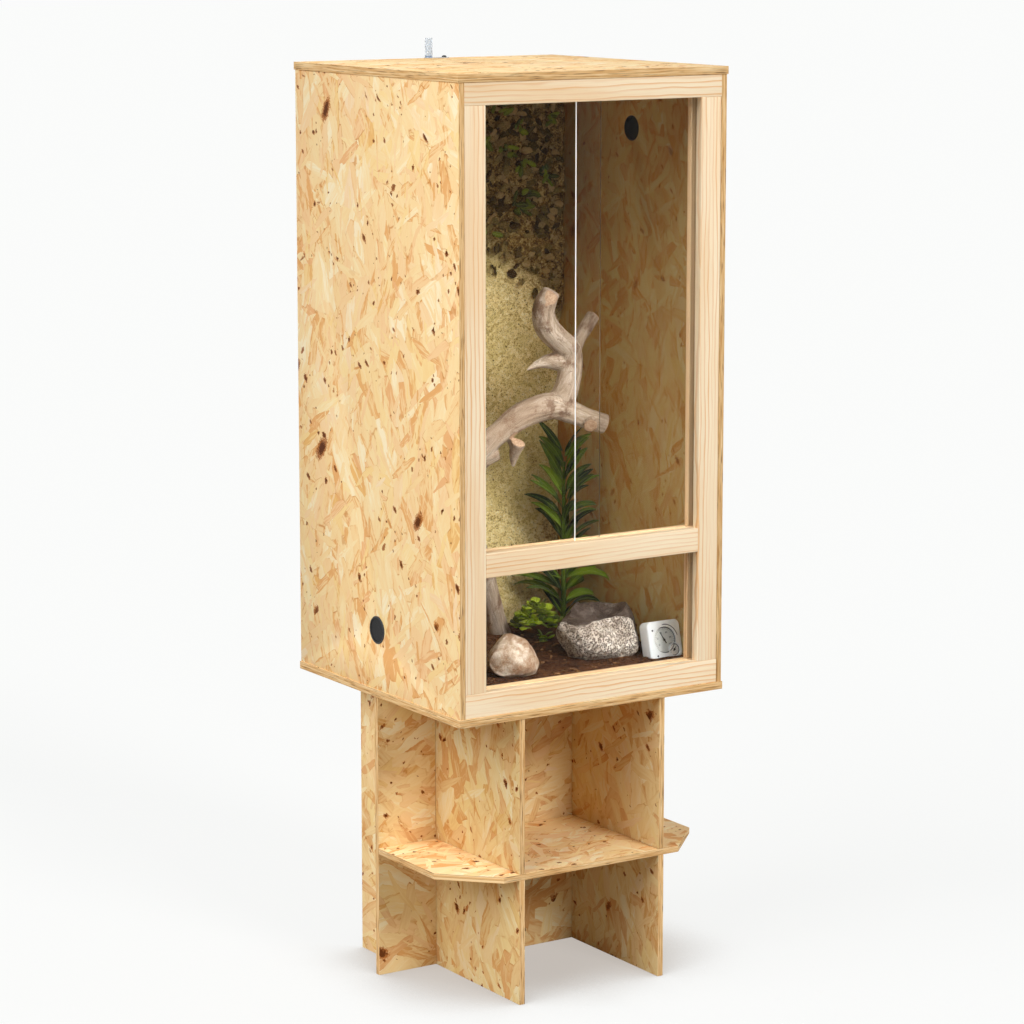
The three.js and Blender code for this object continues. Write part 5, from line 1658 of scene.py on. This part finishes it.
@dataclass
class Plants:
    """Upright plant of strap leaves, rosette of round ones, and the vine on the wall."""

    room: Room
    wall: float
    tiers: int = 14
    per_tier: int = 4
    seed: int = 43

    def build(self) -> None:
        """Each plant in its own green."""
        self._upright()
        self._rosette()
        self._vine()

    def _leaves(self, name: str, shape: tuple, tone: Array, finish: Leaf, node: str) -> None:
        """Makes one piece of many leaves, kept off the side panel, the background and the soil.

        Args:
            name: Name of the piece.
            shape: What blades() gives.
            tone: Each leaf's own tone.
            finish: Its finish.
            node: CAD node that it stands for.
        """
        points, faces, number, across, along = shape
        points[:, :2] = np.minimum(points[:, :2], (self.room.right - 2 * MM, self.wall - 4 * MM))
        points[:, 2] = np.maximum(points[:, 2], self.room.ground + 2 * MM)
        piece = mesh_piece(name, points, faces)
        grid_uv(piece.data, across, along)
        store(piece.data, "tone", tone[number])
        walled(piece, 0.7 * MM)
        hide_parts(node)
        deliver(piece, [finish.material()])

    def _upright(self) -> None:
        """Tiers of arching strap leaves up an upright stem, longest below the middle, most upright at the top."""
        rng = np.random.default_rng(self.seed)
        _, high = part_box("upright_plant")
        count = self.tiers * self.per_tier
        t = np.repeat(np.linspace(0, 1, self.tiers), self.per_tier)
        root_x, root_y = self.room.right - 58 * MM, self.wall - 108 * MM
        rank = np.arange(count)
        azimuth = np.where(rank % 2 == 0, -0.57, math.pi - 0.57) + rng.uniform(-0.80, 0.80, count)
        azimuth = np.where(rank % 4 == 3, rng.uniform(-math.pi, math.pi, count), azimuth)
        height = self.room.ground + 26 * MM + (high.z - self.room.ground - 92 * MM) * t + rng.uniform(-8, 8, count) * MM
        base = rows_of(root_x + 4 * MM * np.cos(azimuth), root_y + 4 * MM * np.sin(azimuth), height)
        gaps = np.array([self.room.right - root_x, self.wall - root_y])[:, None] - 8 * MM
        heading = np.array([np.cos(azimuth), np.sin(azimuth)])
        room = 1.3 * np.where(heading > 0.05, gaps / np.maximum(heading, 0.05), 1.0).min(axis=0)
        reach = (112 - 34 * t + rng.uniform(-10, 10, count)) * MM
        shape = blades(
            base, azimuth, np.minimum(reach, room), (18.5 - 3 * t + rng.uniform(-2.5, 2.5, count)) * MM,
            0.95 + 0.20 * t + rng.uniform(-0.38, 0.26, count), 1.20 - 0.65 * t + rng.uniform(-0.40, 0.40, count),
            fold=0.22, waist=0.85, rows=14,
            roll=0.95 * (0.839 * np.cos(azimuth) - 0.545 * np.sin(azimuth)) + rng.uniform(-0.45, 0.45, count))
        tone = rng.random(count) ** 1.3
        self._leaves(
            "strap_leaf_plant", shape, tone,
            Leaf("strap_leaf", (30, 46, 8), (132, 164, 36), (156, 182, 70), 5.0, 0.48), "upright_plant")
        ends = ((root_x, root_y, self.room.ground - 8 * MM, 6 * MM), (root_x, root_y, high.z - 80 * MM, 3 * MM))
        stem_line = spline(np.array(ends), 12)
        stem = mesh_piece("strap_leaf_stem", *tube(stem_line[:, :3], stem_line[:, 3], 16))
        even = np.full(len(stem.data.vertices), 0.3)
        store(stem.data, "tone", even)
        grid_uv(stem.data, even, 0 * even)
        deliver(stem, [bpy.data.materials["strap_leaf"]])

    def _rosette(self) -> None:
        """Low clump of round yellow-green leaves: small heads spread by the golden angle, lower further out."""
        rng = np.random.default_rng(self.seed + 1)
        heads, each = 16, 9
        count = heads * each
        centre = np.array([self.room.right - 152 * MM, self.wall - 150 * MM, self.room.ground])
        share = np.arange(heads) / (heads - 1)
        turn = np.arange(heads) * 2.39996
        spread = 40 * MM * np.sqrt(share)
        head = rows_of(spread * np.cos(turn), spread * np.sin(turn), (66 - 50 * share + rng.uniform(-8, 8, heads)) * MM)
        base = np.repeat(centre + head, each, axis=0) + rng.uniform(-5, 5, (count, 3)) * MM
        azimuth = rng.uniform(-math.pi, math.pi, count)
        shape = blades(
            base, azimuth, rng.uniform(15, 25, count) * MM, rng.uniform(17, 25, count) * MM,
            rng.uniform(0.1, 1.4, count), rng.uniform(0.2, 1.4, count), fold=-0.18, waist=1.10, rows=9)
        tone = rng.uniform(0.10, 1.0, count)
        self._leaves(
            "round_leaf_plant", shape, tone,
            Leaf("round_leaf", (34, 50, 6), (176, 200, 40), (192, 210, 80), 8.0, 0.44), "rosette_plant")

    def _vine(self) -> None:
        """Clusters of small leaves on the wall, each at a place counted from the right panel and the ceiling."""
        rng = np.random.default_rng(self.seed + 2)
        clusters = ((125, 122, 7), (54, 112, 4), (61, 217, 7), (122, 277, 7), (91, 256, 5), (151, 172, 5),
            (195, 330, 3),
                    (210, 150, 6), (160, 90, 5), (110, 190, 5))
        east = np.repeat([c[0] for c in clusters], [c[2] for c in clusters]) * MM
        down = np.repeat([c[1] for c in clusters], [c[2] for c in clusters]) * MM
        count = len(east)
        low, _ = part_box("background")
        root = rows_of(self.room.right - east + rng.uniform(-14, 14, count) * MM, np.full(count, low.y - 2 * MM),
            self.room.ceiling - down + rng.uniform(-14, 14, count) * MM)
        root[:, 1] += rng.uniform(-6, 8, count) * MM
        turn = rng.uniform(-0.4, 2 * math.pi, count)
        points, faces, number = leaf_shapes(
            root, turn, rng.uniform(0.1, 0.7, count), rng.uniform(15, 30, count) * MM, rng.uniform(7, 14, count) * MM,
            rng.uniform(0.2, 0.8, count), 0.05, self.seed, 9, 7)
        across = np.tile(np.tile(np.linspace(0, 1, 7), 9), count)
        along = np.tile(np.repeat(np.linspace(0, 1, 9), 7), count)
        self._leaves(
            "vine_leaves", (points, faces, number, across, along), rng.uniform(0.0, 1.0, count) ** 1.6,
            Leaf("vine_leaf", (54, 56, 14), (136, 150, 40), (150, 160, 70), 6.0, 0.55), "vine")


# ---- fittings


def outward(shape: Shape) -> Shape:
    """Closed shape with its faces turned outwards: all are flipped where the volume that they enclose is negative."""
    points, faces = shape
    volume = 0.0
    for block in faces:
        first = points[block[:, 0]]
        for k in range(1, block.shape[1] - 1):
            volume += float(np.sum(first * np.cross(points[block[:, k]], points[block[:, k + 1]])))
    return (points, [block[:, ::-1] for block in faces]) if volume < 0 else (points, faces)


@dataclass
class Vents:
    """Round vents in the side panels: a flanged sleeve and a woven mesh across it."""

    flange: float = 27 * MM
    proud: float = 1.5 * MM
    bore: float = 24.8 * MM
    wall: float = 1.3 * MM
    pitch: float = 1.5 * MM
    wire: float = 0.64 * MM

    def build(self) -> None:
        """Both vents, each measured from its CAD sleeve."""
        plastic = Moulded("vent_plastic", (16, 16, 18), 0.42, dust=(110, 104, 96), dustiness=0.06).material()
        steel = Moulded("vent_mesh", (7, 7, 8), 0.6, dust=(60, 56, 50), dustiness=0.06).material()
        for name, side in (("left", -1.0), ("right", 1.0)):
            low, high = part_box(f"{name}_vent_sleeve")
            face = (low.x + self.proud) if side < 0 else (high.x - self.proud)
            depth = (high.x - low.x) - self.proud
            centre = np.array([face, (low.y + high.y) / 2, (low.z + high.z) / 2])
            inner = self.bore - self.wall
            profile = np.array([
                (inner, -depth), (inner, self.proud - 0.5 * MM), (inner + 0.5 * MM, self.proud),
                (self.flange - 0.7 * MM, self.proud), (self.flange, self.proud - 0.8 * MM), (self.flange, 0.0),
                (self.bore, 0.0), (self.bore, -depth)])
            points, faces = turned(profile, 96)
            sleeve = mesh_piece(f"{name}_vent_collar", *outward((self._stood(points, side, centre), faces)))
            eased(sleeve, 0.15 * MM, 1, 30.0)
            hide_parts(f"{name}_vent_sleeve")
            deliver(sleeve, [plastic])
            points, faces = self._mesh(inner)
            woven = mesh_piece(f"{name}_vent_mesh", *outward((self._stood(points, side, centre), faces)))
            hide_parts(f"{name}_vent_grille")
            deliver(woven, [steel])

    @staticmethod
    def _stood(points: Array, side: float, centre: Array) -> Array:
        """Points from the vent's own frame, its height outwards, to the row frame."""
        return rows_of(side * points[:, 2], points[:, 0], points[:, 1]) + centre

    def _mesh(self, radius: float) -> Shape:
        """Plain weave inside a circle: each wire waves as the cosine of its run over the pitch, its neighbour opposite.

        Args:
            radius: Radius of the circle.

        Returns:
            Points and faces.
        """
        reach = int(radius / self.pitch)
        place = np.arange(-reach, reach + 1) * self.pitch
        half = np.sqrt(np.maximum(radius**2 - place**2, (2 * self.pitch) ** 2))
        stations, sides = 4 * reach, 6
        run = np.linspace(-1, 1, stations)[None, :] * half[:, None]
        number = np.arange(len(place))[:, None]
        turn = np.linspace(0, 2 * math.pi, sides, endpoint=False)
        parts = []
        for way, phase in ((0, 0.0), (1, math.pi)):
            wave = 0.42 * MM * np.cos(math.pi * run / self.pitch + math.pi * number + phase) - 0.9 * MM
            off = place[:, None, None] + self.wire * np.cos(turn)
            off = np.broadcast_to(off, (*run.shape, sides))
            height = wave[..., None] + self.wire * np.sin(turn)
            along = np.broadcast_to(run[..., None], off.shape)
            points = np.stack([along, off, height] if way else [off, along, height], axis=-1)
            faces = each_grid(len(place), stations, sides, wrap=True)
            ring = np.arange(sides)
            start = (np.arange(len(place)) * stations * sides)[:, None]
            caps = np.vstack([start + ring[::-1], start + (stations - 1) * sides + ring])
            parts.append(outward((points.reshape(-1, 3), [faces, caps])))
        return together(parts)


@dataclass
class LidFitting:
    """Clear tube on a zinc plate with a black screw, at the back edge of the lid."""

    wall: float = 1.6 * MM
    ring: float = 5 * MM

    def build(self) -> None:
        """Tube turned finely, plate and screw eased from their CAD forms."""
        low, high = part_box("fitting_tube")
        outer = (high.x - low.x) / 2
        centre = np.array([(low.x + high.x) / 2, (low.y + high.y) / 2, 0.0])
        ease = 0.4 * MM
        profile = np.array([
            (outer - self.wall, low.z), (outer - self.wall, high.z - ease), (outer - self.wall + ease, high.z),
            (outer - ease, high.z), (outer, high.z - ease), (outer, low.z)])
        points, faces = turned(profile, 64)
        tube_piece = mesh_piece("fitting_tube_dressed", *outward((points + centre, faces)))
        eased(tube_piece, 0.1 * MM, 1, 30.0)
        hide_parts("fitting_tube")
        deliver(tube_piece, [ClearPlastic("clear_plastic", low.z + self.ring).material()])
        zinc = Moulded("zinc_plate", (196, 200, 204), 0.32, 1.0, (150, 146, 138), 0.12)
        dressed("fitting_plate", 0.35 * MM, zinc.material())
        dressed("fitting_screw", 0.15 * MM, Moulded("black_steel", (22, 22, 24), 0.35).material())


@dataclass
class Gauge:
    """Leaning climate gauge: eased case, printed dial, small dial, two needles with hubs, and a lens."""

    lean: float = 14.0
    radius: float = 26 * MM
    small: float = 12 * MM
    small_place: Pair = (21 * MM, -21 * MM)
    card_behind: float = 0.7 * MM
    front_ahead: float = 3.2 * MM
    screws: tuple[Pair, ...] = ((-27.5 * MM, 20.5 * MM), (-21.7 * MM, -30.0 * MM))

    def build(self) -> None:
        """Eases copies of the CAD parts, copies the lens, and makes the print in the case's own upright frame, leant
        back.
        """
        joint = next(j for j in frame["joints"] if j["name"] == "main_needle_turn")
        self.hub = np.array(joint["pos_m"])
        shell = Moulded("gauge_plastic", (240, 248, 255), 0.34, dust=(196, 204, 214)).material()
        card = Moulded("dial_card", (252, 254, 255), 0.6, dust=(226, 230, 236), dustiness=0.30).material()
        ink = Moulded("dial_ink", (52, 62, 84), 0.6).material()
        dark = Moulded("needle_black", (18, 18, 20), 0.3).material()
        for node, body, slot, finish, ease in (
            ("gauge_case", STATIC_BODY, "gauge_plastic", shell, 0.9 * MM),
            ("small_bezel", STATIC_BODY, "gauge_plastic", shell, 0.3 * MM),
            ("gauge_dial", STATIC_BODY, "dial_card", card, 0.1 * MM),
            ("small_dial", STATIC_BODY, "dial_card", card, 0.1 * MM),
            ("main_needle", "main_needle", "needle", dark, 0.08 * MM),
            ("small_needle", "small_needle", "needle", dark, 0.08 * MM),
        ):
            dressed(node, ease, finish, body, 3 if node == "gauge_case" else 2, 30.0)
        lens = welded_copy("gauge_lens")
        deliver(lens, [PaneGlass("lens_glass", (250, 252, 252)).material()])
        self._print(ink)

    def _placed(self, flat: Array, behind: float) -> Array:
        """Points given round the dial's middle, right and up, set so far behind the joint's point and leant back.

        Args:
            flat: Right, up and forward from the dial's middle.
            behind: Distance behind the needle's joint.

        Returns:
            The points in the row frame.
        """
        turn = math.radians(self.lean)
        right, up, forward = flat[:, 0], flat[:, 1], flat[:, 2] - behind
        y = up * math.sin(turn) - forward * math.cos(turn)
        z = up * math.cos(turn) + forward * math.sin(turn)
        return rows_of(right, y, z) + self.hub

    def _print(self, ink: bpy.types.Material) -> None:
        """Rings, ticks and numbers printed on both dials as thin raised ink, and in the same ink on the case front a
        painted shadow along the top and right of the dial's window, and the screw marks.
        """
        parts = [self._arc(self.radius - 1.1 * MM, 1.5 * MM, 0, 360)]
        parts += [self._tick(a, self.radius - 4.2 * MM, 2.2 * MM if a % 50 else 3.4 * MM) for a in range(-130, 131, 10)]
        parts.append(self._arc(self.small - 1.0 * MM, 1.3 * MM, 0, 360, self.small_place))
        parts += [self._tick(a, self.small - 2.6 * MM, 1.2 * MM, self.small_place) for a in range(-120, 121, 30)]
        for k, text in enumerate(("0", "20", "40", "60", "80", "100")):
            angle = math.radians(-125 + 50 * k)
            parts.append(self._number(text, 5.4 * MM, (15.6 * MM * math.sin(angle), 15.6 * MM * math.cos(angle))))
        points, faces = together(parts)
        ink_piece = mesh_piece("dial_print", self._placed(points, self.card_behind), faces, smooth=False)
        deliver(ink_piece, [ink])
        # Painted shadow: a dark arc round the top and right of the dial's window, where its raised rim would shade the
        # case front.
        marks = [self._arc(30.2 * MM, 1.5 * MM, -6, 78)]
        marks += [self._arc(1.0 * MM, 1.9 * MM, 0, 360, place) for place in self.screws]
        points, faces = together(marks)
        deliver(mesh_piece("case_shadow_and_screw_marks", self._placed(points, -self.front_ahead), faces, smooth=False),
            [ink])

    @staticmethod
    def _arc(radius: float, width: float, start: float, end: float, centre: Pair = (0.0, 0.0)) -> Shape:
        """Flat raised arc from one clock angle to another, in degrees, with a rectangular section.

        Args:
            radius: Radius of its middle.
            width: Width of the line.
            start: First angle.
            end: Last angle.
            centre: Its centre, right and up.

        Returns:
            Points and faces.
        """
        steps = max(8, int(abs(end - start) / 4))
        angle = np.radians(np.linspace(start, end, steps + 1))
        half, high = width / 2, 0.12 * MM
        section = ((radius - half, 0.0), (radius + half, 0.0), (radius + half, high), (radius - half, high))
        rows = [rows_of(centre[0] + r * np.sin(angle), centre[1] + r * np.cos(angle), np.full(len(angle), h))
                for r, h in section]
        points = np.stack(rows, axis=1).reshape(-1, 3)
        body = quads(len(angle), 4, wrap=True)
        caps = np.array([[0, 1, 2, 3], [len(points) - 1, len(points) - 2, len(points) - 3, len(points) - 4]])
        return outward((points, [np.vstack([body, caps])]))

    @staticmethod
    def _tick(angle: float, radius: float, length: float, centre: Pair = (0.0, 0.0)) -> Shape:
        """Short raised bar that points at the middle of its dial.

        Args:
            angle: Clock angle in degrees.
            radius: Distance of its middle.
            length: Its length.
            centre: Middle of the dial.

        Returns:
            Points and faces.
        """
        turn = math.radians(angle)
        out, side = np.array([math.sin(turn), math.cos(turn), 0.0]), np.array([math.cos(turn), -math.sin(turn), 0.0])
        middle = np.array([*centre, 0.0]) + radius * out
        signs = np.array([(-1, -1), (1, -1), (1, 1), (-1, 1)])
        flat = middle + signs[:, :1] * side * 0.28 * MM + signs[:, 1:] * out * length / 2
        points = np.vstack([flat, flat + np.array([0, 0, 0.12 * MM])])
        ring = np.arange(4)
        walls = rows_of(ring, (ring + 1) % 4, (ring + 1) % 4 + 4, ring + 4)
        return outward((points, [np.vstack([walls, [[3, 2, 1, 0]], [[4, 5, 6, 7]]])]))

    @staticmethod
    def _number(text: str, height: float, middle: Pair) -> Shape:
        """Printed number with a little thickness, centred on its place.

        Args:
            text: The digits.
            height: Height of a digit.
            middle: Its place, right and up.

        Returns:
            Points and faces.
        """
        curve = bpy.data.curves.new("digits", "FONT")
        curve.body = text
        curve.size = height
        curve.extrude = 0.06 * MM
        curve.align_x = "CENTER"
        curve.align_y = "CENTER"
        curve.resolution_u = 2
        holder = linked("digits", curve)
        mesh = bpy.data.meshes.new_from_object(holder.evaluated_get(bpy.context.evaluated_depsgraph_get()))
        mesh.calc_loop_triangles()
        triangles = np.empty(len(mesh.loop_triangles) * 3, np.int32)
        mesh.loop_triangles.foreach_get("vertices", triangles)
        points = points_of(mesh) + np.array([*middle, 0.06 * MM])
        bpy.data.objects.remove(holder)
        bpy.data.meshes.remove(mesh)
        return points, [triangles.reshape(-1, 3)]


# ---- studio


@dataclass(frozen=True)
class Lamp:
    """Distant soft lamp."""

    name: str
    towards: Triple
    strength: float
    softness: float

    def hang(self) -> None:
        """Adds the lamp to the scene."""
        data = bpy.data.lights.new(self.name, "SUN")
        data.energy = self.strength
        data.angle = math.radians(self.softness)
        lamp = linked(self.name, data)
        away = unit(np.array(self.towards))
        lamp.location = away * 6.0
        lamp.rotation_euler = (math.acos(away[2]), 0.0, math.atan2(away[1], away[0]) + math.pi / 2)


@dataclass
class Studio:
    """Pale floor and soft lamps round the cabinet, and the photograph's camera."""

    lens: float = 118.4
    eye: Triple = (-3.503, -5.426, 2.049)
    yaw: float = -32.91
    dip: float = 9.35
    shift: float = -0.0488
    floor_reach: float = 60.0
    ambient: float = 0.27
    lifted: float = 0.88
    lamps: tuple[Lamp, ...] = (
        Lamp("key_lamp", (-0.78, -0.07, 0.60), 2.45, 50.0),
        Lamp("front_lamp", (0.12, -0.84, 0.53), 1.82, 18.0),
    )

    def build(self) -> None:
        """Adds camera, floor, lamps and world."""
        self._camera()
        self._floor()
        for lamp in self.lamps:
            lamp.hang()
        self._world()

    def _camera(self) -> None:
        """Camera at the photograph's place."""
        data = bpy.data.cameras.new("photo_camera")
        data.lens = self.lens
        data.shift_y = self.shift
        data.clip_end = 200.0
        camera = linked("photo_camera", data)
        camera.location = self.eye
        camera.rotation_euler = (math.radians(90 - self.dip), 0.0, math.radians(self.yaw))
        bpy.context.scene.camera = camera

    def _seen(self, g: Graph) -> Out:
        """1 for the rays that see the backdrop: the camera's, mirrored and refracted ones."""
        path = g.node("LightPath").outputs
        seen = g.math("MAXIMUM", path["Is Camera Ray"], path["Is Glossy Ray"])
        return g.math("MAXIMUM", seen, path["Is Transmission Ray"])

    def _floor(self) -> None:
        """Wide floor, nearly white to the eye and greyer as a source of bounced light; it keeps the shadow, and its
        glow holds a painted contact shadow that greys near the object.
        """
        side = np.linspace(-self.floor_reach, self.floor_reach, 3)
        x, y = np.meshgrid(side, side, indexing="xy")
        points = rows_of(x, y, np.zeros_like(x)).reshape(-1, 3)
        floor = mesh_piece("studio_floor", points, [quads(3, 3)])
        material = bpy.data.materials.new("studio_floor")
        g = fresh_tree(material)
        colour = g.blend(self._seen(g), display(186, 182, 176), display(251, 250, 249))
        paper = g.node("BsdfDiffuse", {"Color": colour}).outputs[0]
        # Painted shadow: the glow's colour greys near the object, by ambient occlusion.
        near = g.node("AmbientOcclusion", {"Distance": 0.30}, samples=8).outputs["AO"]
        told = g.blend(g.between(near, 0.30, 0.92), display(196, 189, 182), display(250, 251, 250))
        glow = g.node("Emission", {0: told, 1: 1.0}).outputs[0]
        share = g.times(self._seen(g), self.lifted)
        g.node("OutputMaterial", {0: g.node("MixShader", {0: share, 1: paper, 2: glow}).outputs[0]})
        floor.data.materials.append(material)

    def _world(self) -> None:
        """White to the eye and in reflections, dimmer as light on the object."""
        world = bpy.data.worlds.new("studio_world")
        g = fresh_tree(world)
        strength = g.mix(self._seen(g), self.ambient, 1.0)
        light = g.node("Background", {0: display(251, 251, 251), 1: strength})
        g.node("OutputWorld", {0: light.outputs[0]})
        bpy.context.scene.world = world


def main() -> None:
    """Builds the finishes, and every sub-assembly and the studio."""
    logging.basicConfig(level=logging.INFO, format="%(name)s %(message)s")
    bpy.context.scene.view_settings.view_transform = "Standard"
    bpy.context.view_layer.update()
    for effect in (strand_flakes, sawn_layers, pine_grain, grit, leaf_veins):
        effect()
    room = Room.measured()
    background = Background(room)
    wall = room.wall - background.sheet
    assemblies = (
        Carcass(), FrontFrame(), Panes(), Stand(), background, Ground(room), Stones(), Branch(room, wall),
        Plants(room, wall), Vents(), LidFitting(), Gauge())
    for assembly in assemblies:
        assembly.build()
    Studio().build()


if __name__ == "__main__":
    main()
